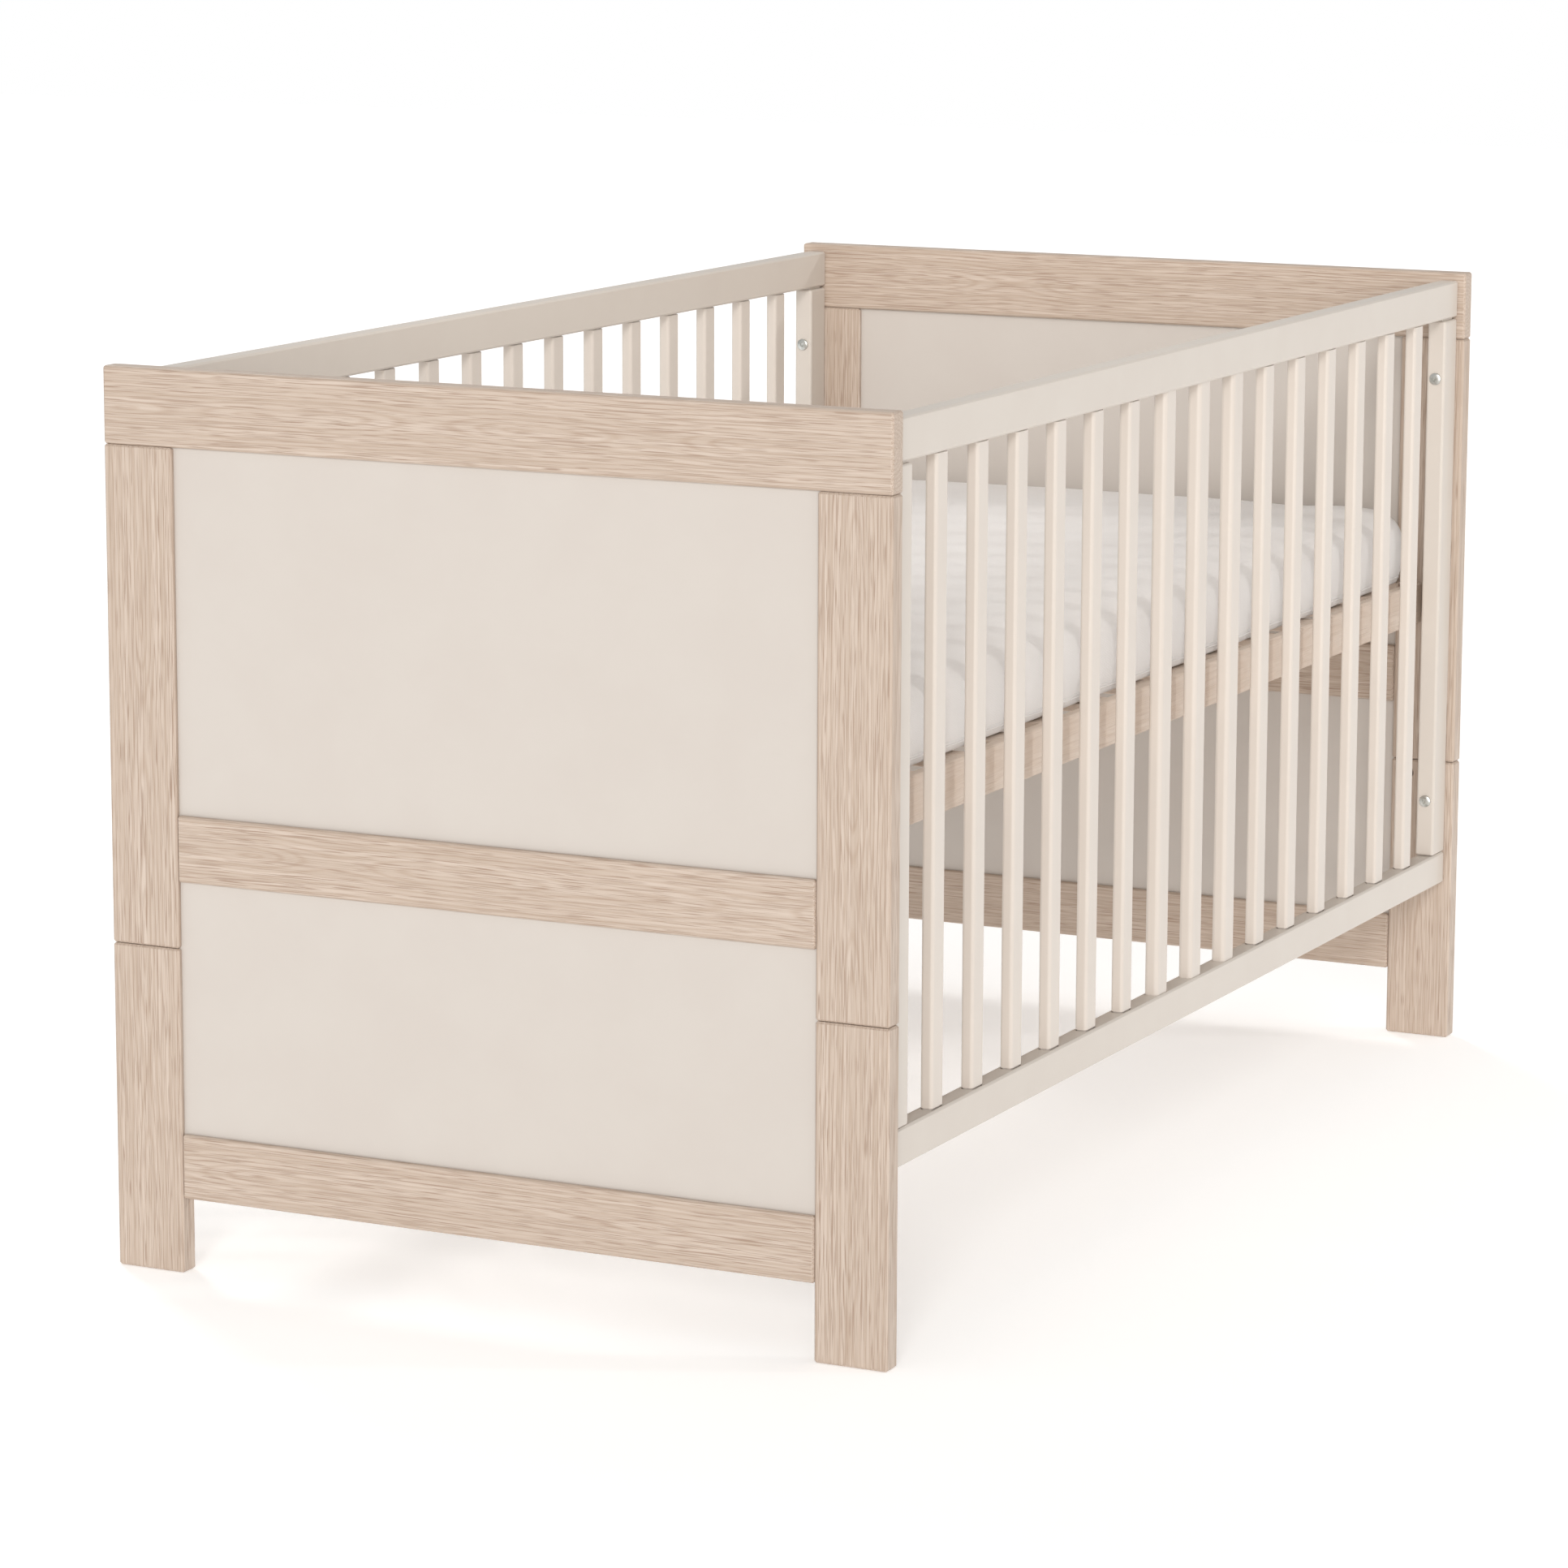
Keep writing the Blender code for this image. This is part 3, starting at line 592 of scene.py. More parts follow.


# The elm decor's dark edge colour, which every edge of the posts, legs and rails is mixed towards, is partly the
# decor's darker edge line and partly painted shade for the shadows in the grooves between members.
ELM = WoodFinish(
    "elm_decor", linear(185, 168, 153), 0.44,
    pore=linear(136, 108, 88), band=linear(201, 186, 173), ring=linear(162, 137, 116), edge=linear(138, 104, 82),
    pore_length=0.030, pore_width=0.00070, band_width=0.0048, ring_spacing=0.0040,
    pore_share=0.64, band_share=0.9, ring_share=0.32, edge_share=0.62, relief=0.00010, coat=0.08,
)
BARE = WoodFinish(
    "bare_wood", linear(216, 199, 184), 0.56,
    pore=linear(170, 140, 116), band=linear(224, 210, 197), ring=linear(200, 178, 158), edge=linear(228, 214, 200),
    pore_length=0.032, pore_width=0.0006, band_width=0.014, ring_spacing=0.0052,
    pore_share=0.22, band_share=0.8, ring_share=0.16, edge_share=0.3, relief=0.00012, coat=0.0,
)
# The end panels' lighter edge colour is a painted highlight along their edges.
CREAM = LacquerFinish(
    "cream_lacquer", linear(197, 190, 183), 0.34,
    shade=linear(194, 186, 179), edge=linear(220, 213, 206), edge_radius=0.0016, edge_share=0.55,
)
# The bars' cream is a lighter copy of the panels' lacquer, and its lighter edge colour reaches across most of each
# bar's narrow face: both are painted highlight, for the bright narrow faces of the bars.
CREAM_BAR_PAINTED_HIGHLIGHT = LacquerFinish(
    "cream_bar_lacquer", linear(208, 199, 190), 0.32,
    shade=linear(205, 196, 187), edge=linear(240, 232, 224), edge_radius=0.0044, edge_share=1.0,
)
# The side rails' lighter edge colour is a painted highlight along their edges.
CREAM_RAIL = LacquerFinish(
    "cream_rail_lacquer", linear(203, 195, 186), 0.33,
    shade=linear(200, 191, 182), edge=linear(228, 220, 212), edge_radius=0.0018, edge_share=0.7,
)
ZINC = SteelFinish("zinc_steel", linear(214, 215, 212), 0.20, dull=linear(186, 188, 182))
COTTON = ClothFinish(
    "cotton_cover", linear(236, 233, 231), 0.92,
    shadow=linear(220, 214, 210), thread=0.0011, slub=0.35, relief=0.00022, sheen=0.35,
)
WEBBING = ClothFinish(
    "webbing", linear(214, 206, 192), 0.90,
    shadow=linear(168, 158, 142), thread=0.0016, slub=0.25, relief=0.0004, sheen=0.15,
)
SEWING = ClothFinish(
    "sewing_thread", linear(240, 240, 239), 0.85,
    shadow=linear(214, 213, 211), thread=0.0004, slub=0.2, relief=0.0001, sheen=0.2,
)


# --- Mesh work ---------------------------------------------------------------


def rounded_outline(width: float, depth: float, radius: float, steps: int) -> Outline:
    """A rectangle with rounded corners, centred, counter-clockwise.

    Args:
        width: Its full width.
        depth: Its full depth.
        radius: Its corner radius.
        steps: How many edges each corner has.

    Returns:
        Its points.
    """
    radius = max(1e-5, min(radius, width / 2 - 1e-5, depth / 2 - 1e-5))
    points: Outline = []
    for quarter, (sx, sy) in enumerate(((1, 1), (-1, 1), (-1, -1), (1, -1))):
        for i in range(steps + 1):
            angle = math.pi / 2 * (quarter + i / steps)
            points.append((
                sx * (width / 2 - radius) + radius * math.cos(angle),
                sy * (depth / 2 - radius) + radius * math.sin(angle),
            ))
    return points


def finish_mesh(
    name: str, bm: bmesh.types.BMesh, material: bpy.types.Material, crease: float = 40.0
) -> bpy.types.Object:
    """Turns a bmesh into an object that is smooth where it is round.

    Args:
        name: The object's name.
        bm: The mesh, which is freed.
        material: The object's material.
        crease: The angle, in degrees, from which an edge stays sharp.

    Returns:
        The object.
    """
    bmesh.ops.recalc_face_normals(bm, faces=bm.faces)
    for face in bm.faces:
        face.smooth = True
    for edge in bm.edges:
        edge.smooth = len(edge.link_faces) == 2 and edge.calc_face_angle(0.0) < math.radians(crease)
    mesh = bpy.data.meshes.new(name)
    bm.to_mesh(mesh)
    bm.free()
    mesh.materials.append(material)
    made = bpy.data.objects.new(name, mesh)
    bpy.context.scene.collection.objects.link(made)
    weighted = made.modifiers.new("even_normals", "WEIGHTED_NORMAL")
    weighted.keep_sharp = True
    return made


def add_loft(bm: bmesh.types.BMesh, along: Axis, sections: list[tuple[float, Outline]], centre: Pair) -> None:
    """Skins a closed form over outlines that follow each other along one direction.

    Args:
        bm: Where it is added.
        along: The direction.
        sections: Each outline and its place along that direction.
        centre: Where the outlines' middle lies, in the other two directions.
    """
    rows = []
    for at, outline in sections:
        row = []
        for u, v in outline:
            u, v = u + centre[0], v + centre[1]
            place = {Axis.X: (at, u, v), Axis.Y: (v, at, u), Axis.Z: (u, v, at)}[along]
            row.append(bm.verts.new(place))
        rows.append(row)
    count = len(rows[0])
    for a, b in zip(rows, rows[1:]):
        for i in range(count):
            j = (i + 1) % count
            bm.faces.new((a[i], a[j], b[j], b[i]))
    bm.faces.new(rows[0][::-1])
    bm.faces.new(rows[-1])


@dataclass
class EasedBar:
    """A straight member with rounded corners, eased ends and, if wanted, tenons."""

    low: Vector
    high: Vector
    along: Axis
    corner: float
    ease: float
    steps: int = 6
    tenon_low: float = 0.0
    tenon_high: float = 0.0
    tenon_inset: float = 0.0015

    def sections(self) -> tuple[list[tuple[float, Outline]], tuple[float, float]]:
        """Its outlines, and the middle that they are drawn about.

        Returns:
            The sections for add_loft, and their centre.
        """
        u, v = {Axis.X: (1, 2), Axis.Y: (2, 0), Axis.Z: (0, 1)}[self.along]
        w = self.along.value
        width, depth = self.high[u] - self.low[u], self.high[v] - self.low[v]

        def outline(inset: float, radius: float) -> Outline:
            """The outline, drawn in by inset."""
            return rounded_outline(width - 2 * inset, depth - 2 * inset, radius, self.steps)

        rows = []
        if self.tenon_low:
            slim = outline(self.ease + self.tenon_inset, self.corner * 0.6)
            rows += [(self.low[w] - self.tenon_low, slim), (self.low[w], slim)]
        arc = [math.pi / 2 * i / 4 for i in range(5)]
        for t in reversed(arc):
            inset = self.ease * (1 - math.cos(t))
            rows.append((self.low[w] + self.ease * (1 - math.sin(t)), outline(inset, self.corner - inset * 0.5)))
        for t in arc:
            inset = self.ease * (1 - math.cos(t))
            rows.append((self.high[w] - self.ease * (1 - math.sin(t)), outline(inset, self.corner - inset * 0.5)))
        if self.tenon_high:
            slim = outline(self.ease + self.tenon_inset, self.corner * 0.6)
            rows += [(self.high[w], slim), (self.high[w] + self.tenon_high, slim)]
        return rows, ((self.low[u] + self.high[u]) / 2, (self.low[v] + self.high[v]) / 2)

    def build(self, name: str, material: bpy.types.Material) -> bpy.types.Object:
        """Makes the member as an object.

        Args:
            name: Its name.
            material: Its material.

        Returns:
            The object.
        """
        bm = bmesh.new()
        rows, centre = self.sections()
        add_loft(bm, self.along, rows, centre)
        return finish_mesh(name, bm, material)


def soften_edges(node: bpy.types.Object, radius: float) -> None:
    """Rounds a carried-over node's edges with modifiers, which leave its mesh as it is.

    Args:
        node: The node's object.
        radius: How far each edge is rounded.
    """
    node.modifiers.new("join_faces", "WELD").merge_threshold = 1e-5
    bevel = node.modifiers.new("rounded_edges", "BEVEL")
    bevel.width, bevel.segments, bevel.limit_method = radius, 3, "ANGLE"
    bevel.angle_limit = math.radians(24)
    bevel.harden_normals = True
    even = node.modifiers.new("even_normals", "WEIGHTED_NORMAL")
    even.keep_sharp = False


def middle(name: str) -> Vector:
    """The middle of a node's box."""
    low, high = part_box(name)
    return (low + high) / 2


@dataclass
class Assembly:
    """Pieces that are made together."""

    pieces: list[bpy.types.Object] = field(default_factory=list, kw_only=True)

    def dress(self, name: str, material: bpy.types.Material, radius: float) -> None:
        """Gives a carried-over node its material and its rounded edges.

        Args:
            name: The node's name.
            material: Its material.
            radius: How far its edges are rounded.
        """
        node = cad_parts[name]
        node.data.materials.clear()
        node.data.materials.append(material)
        soften_edges(node, radius)
        self.pieces.append(node)

    def seat(self, piece: bpy.types.Object, body: str, slot: Slot, *nodes: str) -> None:
        """Hands a finished piece to the frame.

        Args:
            piece: The piece.
            body: The body that it rides on.
            slot: The material slot that its finish comes from; not used.
            *nodes: The nodes that it stands for.
        """
        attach(piece, body)
        if nodes:
            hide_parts(*nodes)
        self.pieces.append(piece)


# --- The ends ----------------------------------------------------------------


@dataclass
class PanelledEnd(Assembly):
    """The footboard or the headboard: posts, legs and rails in wood decor around two lacquered panels."""

    end: End
    edge_radius: float = 0.0007
    panel_radius: float = 0.0004

    @property
    def prefix(self) -> str:
        """What the names of its nodes begin with."""
        return "footboard" if self.end is End.FOOT else "headboard"

    def dress_members(self) -> None:
        """Cuts the decor along each post, leg and rail."""
        rails = {f"{level}_rail": (Axis.X, Axis.Z) for level in ("top", "mid", "low")}
        uprights = {f"{hand}_{part}": (Axis.Z, Axis.X) for part in ("post", "leg") for hand in ("left", "right")}
        for part, (along, across) in (rails | uprights).items():
            name = f"{self.prefix}_{part}"
            self.dress(name, ELM.cut(name, along, across, middle(name)), self.edge_radius)

    def dress_panels(self) -> None:
        """Lacquers the two panels."""
        for part in ("upper_panel", "lower_panel"):
            name = f"{self.prefix}_{part}"
            self.dress(name, CREAM.make(f"_{name}"), self.panel_radius)

    def build(self) -> list[bpy.types.Object]:
        """Dresses the whole end and returns its pieces."""
        self.dress_members()
        self.dress_panels()
        return self.pieces


# --- The sides ---------------------------------------------------------------


@dataclass
class ConnectorBolt:
    """A domed furniture bolt with a hexagon socket, lying along the bed."""

    node: str
    inward: float
    dome: float = 0.0019
    rim: float = 0.0006
    socket_across: float = 0.0040
    socket_depth: float = 0.0017
    shank: float = 0.0029
    around: int = 48

    def _ring(self, radius: float, hexagon: float = 0.0) -> Outline:
        """A ring of points.

        Args:
            radius: Its radius, or half the width across flats of its hexagon.
            hexagon: How far it is a hexagon, from 0 to 1.

        Returns:
            The ring's points.
        """
        points: Outline = []
        for i in range(self.around):
            angle = 2 * math.pi * i / self.around
            off = (angle % (math.pi / 3)) - math.pi / 6
            size = radius * (1 - hexagon) + hexagon * radius / math.cos(off)
            points.append((size * math.cos(angle), size * math.sin(angle)))
        return points

    def build(self, material: bpy.types.Material) -> bpy.types.Object:
        """Turns the head, sinks its socket and adds the shank.

        Args:
            material: The bolt's material.

        Returns:
            The bolt.
        """
        low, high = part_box(self.node)
        radius = (high.x - low.x) / 2
        face, tip = (low.y, high.y) if self.inward < 0 else (high.y, low.y)
        way = -self.inward
        crown, seat_at = face, face - self.inward * 0.0032
        rows: list[tuple[float, Outline]] = []
        socket = self.socket_across / 2
        rows.append((crown - self.inward * self.socket_depth, self._ring(socket * 0.35, 0.6)))
        rows.append((crown - self.inward * self.socket_depth * 0.92, self._ring(socket * 0.96, 1.0)))
        rows.append((crown - self.inward * 0.00042, self._ring(socket, 1.0)))
        rows.append((crown - self.inward * 0.00012, self._ring(socket + 0.00028, 0.6)))
        steps = 10
        for i in range(steps + 1):
            t = i / steps
            across = (socket + 0.0006) + (radius - self.rim - socket - 0.0006) * t
            drop = self.dome * (1 - math.sqrt(max(0.0, 1 - (across / radius) ** 2 * 0.92)))
            rows.append((crown - self.inward * drop, self._ring(across)))
        for t in (0.25, 0.6, 1.0):
            angle = t * math.pi / 2
            at = rows[-1][0] if t == 0.25 else at
            back = self.inward * self.rim * (1 - math.cos(angle)) * 0.9
            rows.append((at - back, self._ring(radius - self.rim * (1 - math.sin(angle)))))
        rows.append((seat_at + self.inward * 0.0002, self._ring(radius)))
        rows.append((seat_at, self._ring(radius - 0.0003)))
        rows.append((seat_at, self._ring(self.shank)))
        rows.append((tip + self.inward * 0.001, self._ring(self.shank)))
        rows.append((tip, self._ring(self.shank - 0.0008)))
        bm = bmesh.new()
        centre = ((low.z + high.z) / 2, (low.x + high.x) / 2)
        add_loft(bm, Axis.Y, rows if way > 0 else rows[::-1], centre)
        return finish_mesh(self.node + "_turned", bm, material, 50.0)


@dataclass
class BarredSide(Assembly):
    """One side: a top and a low rail, two stiles, fifteen bars and four bolts, all in cream lacquer, with a painted
    highlight on the bars.
    """

    side: Side
    bars: int = 15
    bar_width: float = 0.024
    bar_depth: float = 0.012
    bar_corner: float = 0.0034
    bar_ease: float = 0.0009
    tenon_inset: float = 0.0006
    foot_gap: float = 0.0004
    loose: tuple[int, ...] = (7, 8, 9)
    loose_corner: float = 0.0046
    loose_ease: float = 0.0012
    stile_corner: float = 0.0030
    stile_ease: float = 0.0026
    stile_gap_low: float = 0.0005
    stile_gap_high: float = 0.0020
    rail_edge: float = 0.0011
    shoulder_gap: float = 0.0011

    @property
    def prefix(self) -> str:
        """What the names of its nodes begin with."""
        return f"{self.side.name.lower()}_side"

    def _node(self, index: int) -> str:
        """The right side's node for a bar, counted from 1 at the foot."""
        return f"right_side_{'removable_bar' if index in self.loose else 'bar'}_{index:02}"

    def _bar(self, name: str, centre: Vector, size: Pair, span: Pair, tenons: Pair) -> bpy.types.Object:
        """Makes one fixed bar.

        Args:
            name: Its name.
            centre: A point on its middle line.
            size: Its size in X and Y.
            span: Where its shoulders stand, low and high.
            tenons: How far its tenons reach past them, low and high.

        Returns:
            The bar.
        """
        half = Vector((size[0] / 2, size[1] / 2, 0.0))
        low, high = centre - half, centre + half
        low.z, high.z = span
        form = EasedBar(low, high, Axis.Z, self.bar_corner, self.bar_ease, 7, *tenons, self.tenon_inset)
        return form.build(name, self.bar_lacquer_painted_highlight)

    def build_rails(self) -> None:
        """Dresses the rails that carry real mortises."""
        for rail in ("top_rail", "low_rail") if self.side is Side.RIGHT else ("top_rail",):
            self.dress(f"{self.prefix}_{rail}", self.lacquer, self.rail_edge)

    def build_bars(self) -> None:
        """Makes the right side's bars; the lift-out ones run on into their mortises at full size."""
        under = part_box(f"{self.prefix}_top_rail")[0].z
        on = self.low_rail_box[1].z
        for i in range(1, self.bars + 1):
            node = self._node(i)
            low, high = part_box(node)
            if i in self.loose:
                form = EasedBar(low.copy(), high.copy(), Axis.Z, self.loose_corner, self.loose_ease, 7)
                self.seat(form.build(node + "_eased", self.bar_lacquer_painted_highlight), f"lift_bar_{i:02}", Slot.CREAM, node)
                continue
            span = (on + self.foot_gap, under - self.shoulder_gap)
            tenons = (span[0] - low.z, high.z - span[1])
            bar = self._bar(node + "_turned", (low + high) / 2, (high.x - low.x, high.y - low.y), span, tenons)
            self.seat(bar, Body.FRAME.value, Slot.CREAM, node)

    def build_comb(self) -> None:
        """Draws the left side's comb as a low rail and the bars that stand in it."""
        comb = f"{self.prefix}_low_rail_and_bars"
        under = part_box(f"{self.prefix}_top_rail")[0].z
        rail = EasedBar(*self.low_rail_box, Axis.Y, 0.0026, 0.0006, 5).build(f"{self.prefix}_low_rail", self.lacquer)
        self.seat(rail, Body.FRAME.value, Slot.CREAM, comb)
        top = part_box(comb)[1].z
        span = (self.low_rail_box[1].z - 0.0006, under - self.shoulder_gap)
        for i in range(1, self.bars + 1):
            centre = Vector((middle(comb).x, middle(self._node(i)).y, 0.0))
            size = (self.bar_depth, self.bar_width)
            bar = self._bar(f"{self.prefix}_bar_{i:02}", centre, size, span, (0.0, top - span[1]))
            self.seat(bar, Body.FRAME.value, Slot.CREAM)

    def build_stiles(self) -> None:
        """Makes the two stiles, which stop just short of the top rail."""
        foot = self.low_rail_box[1].z + self.stile_gap_low
        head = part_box(f"{self.prefix}_top_rail")[0].z - self.stile_gap_high
        for end in End:
            node = f"{self.prefix}_{end.name.lower()}_stile"
            low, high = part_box(node)
            tenons = (max(0.0, foot - low.z), max(0.0, high.z - head))
            low.z, high.z = foot, head
            form = EasedBar(low, high, Axis.Z, self.stile_corner, self.stile_ease, 7, *tenons)
            self.seat(form.build(node + "_shaped", self.lacquer), Body.FRAME.value, Slot.CREAM, node)

    def build_bolts(self) -> None:
        """Makes the four bolts that hold the side to the ends."""
        steel = ZINC.make(f"_{self.prefix}")
        for end in End:
            for height in ("low", "high"):
                node = f"{self.prefix}_{end.name.lower()}_{height}_bolt"
                bolt = ConnectorBolt(node, inward=-end.value).build(steel)
                self.seat(bolt, Body.FRAME.value, Slot.ZINC, node)

    def build(self) -> list[bpy.types.Object]:
        """Builds the whole side and returns its pieces."""
        self.lacquer = CREAM_RAIL.make(f"_{self.prefix}")
        self.bar_lacquer_painted_highlight = CREAM_BAR_PAINTED_HIGHLIGHT.make(f"_{self.prefix}")
        low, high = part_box("right_side_low_rail")
        across = sorted((self.side.value * low.x, self.side.value * high.x))
        self.low_rail_box = Vector((across[0], low.y, low.z)), Vector((across[1], high.y, high.z))
        self.build_rails()
        if self.side is Side.RIGHT:
            self.build_bars()
        else:
            self.build_comb()
        self.build_stiles()
        self.build_bolts()
        return self.pieces


# --- The base ----------------------------------------------------------------


@dataclass
class SlattedBase(Assembly):
    """The bed base: four rails, twelve slats on two stapled webbing straps, and four steel pins."""

    slats: int = 12
    slat_width: float = 0.050
    slat_thickness: float = 0.008
    slat_edge: float = 0.0022
    strap_width: float = 0.022
    strap_thickness: float = 0.0019
    strap_at: float = 0.199
    strap_dip: float = 0.00035
    strap_ripple: float = 0.00008
    end_slat_at: float = 0.5948
    staple_crown: float = 0.010
    staple_wire: float = 0.0006
    staple_shoulder: float = 0.0008
    staple_apart: float = 0.0045
    staple_stand: float = 0.00002
    rail_edge: float = 0.0009
    pin_edge: float = 0.0003

    def build_rails(self) -> None:
        """Dresses the four rails in bare wood."""
        for part, along in (("left_rail", "Y"), ("right_rail", "Y"), ("foot_rail", "X"), ("head_rail", "X")):
            name = f"base_{part}"
            self.dress(name, BARE.cut(name, Axis[along], Axis.Z, middle(name)), self.rail_edge)

    def build_pins(self) -> None:
        """Dresses the pins that the base hangs on."""
        steel = ZINC.make("_pins")
        for hand in ("left", "right"):
            for end in ("foot", "head"):
                self.dress(f"base_{hand}_{end}_pin", steel, self.pin_edge)

    def slat_places(self) -> list[float]:
        """Where each slat's middle lies along the bed."""
        step = 2 * self.end_slat_at / (self.slats - 1)
        return [-self.end_slat_at + step * i for i in range(self.slats)]

    def build_slats(self) -> None:
        """Makes the slats, each cut from its own board."""
        low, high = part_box("slat_deck")
        for i, y in enumerate(self.slat_places(), 1):
            name = f"base_slat_{i:02}"
            a = Vector((low.x, y - self.slat_width / 2, high.z - self.slat_thickness))
            b = Vector((high.x, y + self.slat_width / 2, high.z))
            material = BARE.cut(name, Axis.X, Axis.Y, (a + b) / 2)
            slat = EasedBar(a, b, Axis.X, self.slat_edge, 0.0012, 5).build(name, material)
            self.seat(slat, Body.BASE.value, Slot.BARE, *(("slat_deck",) if i == 1 else ()))

    def _strap(self, name: str, hand: int, cloth: bpy.types.Material) -> bpy.types.Object:
        """Makes one webbing strap, which dips a little between the slats.

        Args:
            name: Its name.
            hand: The sign of X that it lies at.
            cloth: Its material.

        Returns:
            The strap.
        """
        low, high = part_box("slat_deck")
        places = self.slat_places()
        step = places[1] - places[0]
        base = high.z - self.slat_thickness - self.strap_thickness
        section = rounded_outline(self.strap_thickness * 0.9, self.strap_width, 0.0007, 3)
        rows: list[tuple[float, Outline]] = []
        count = 12 * (self.slats - 1)
        for k in range(count + 1):
            y = low.y + (high.y - low.y) * k / count
            phase = (y - places[0]) / step
            free = places[0] <= y <= places[-1]
            dip = self.strap_dip * (1 - math.cos(2 * math.pi * phase)) / 2 if free else 0.0
            dip += self.strap_ripple * noise.noise(Vector((hand, y * 30, 0)))
            sag = max(0.0, dip) * 0.2
            rows.append((y, [(u + base + self.strap_thickness / 2 - sag, v) for u, v in section]))
        bm = bmesh.new()
        add_loft(bm, Axis.Y, rows, (0.0, hand * self.strap_at))
        return finish_mesh(name, bm, cloth)

    def _staples(self, name: str, hand: int, steel: bpy.types.Material) -> bpy.types.Object:
        """Makes the staples through one strap, two to a slat.

        Args:
            name: Their name.
            hand: The sign of X that the strap lies at.
            steel: Their material.

        Returns:
            The staples, as one piece.
        """
        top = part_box("slat_deck")[1].z - self.slat_thickness
        half, shoulder, wire = self.staple_crown / 2, self.staple_shoulder, self.staple_wire
        bm = bmesh.new()
        for y in self.slat_places():
            crown = ((y - half, 0.4), (y - half + shoulder, 1.0), (y + half - shoulder, 1.0), (y + half, 0.4))
            sections = []
            for at, scale in crown:
                ring = rounded_outline(wire * scale, wire * 1.6 * scale, wire * 0.3, 2)
                sections.append((at, [(u + top - self.strap_thickness + self.staple_stand, v) for u, v in ring]))
            for across in (-self.staple_apart, self.staple_apart):
                add_loft(bm, Axis.Y, sections, (0.0, hand * self.strap_at + across))
        return finish_mesh(name, bm, steel)

    def build_straps(self) -> None:
        """Makes the two webbing straps and the staples through them."""
        cloth = WEBBING.make(flip=True)
        steel = ZINC.make("_staples")
        for hand, name in ((-1, "left"), (1, "right")):
            self.seat(self._strap(f"base_{name}_strap", hand, cloth), Body.BASE.value, Slot.BARE)
            self.seat(self._staples(f"base_{name}_staples", hand, steel), Body.BASE.value, Slot.ZINC)

    def build(self) -> list[bpy.types.Object]:
        """Builds the whole base and returns its pieces."""
        self.build_rails()
        self.build_pins()
        self.build_slats()
        self.build_straps()
        return self.pieces


# --- The mattress ------------------------------------------------------------


QUARTERS = (0.0, math.pi / 2, math.pi, 3 * math.pi / 2)


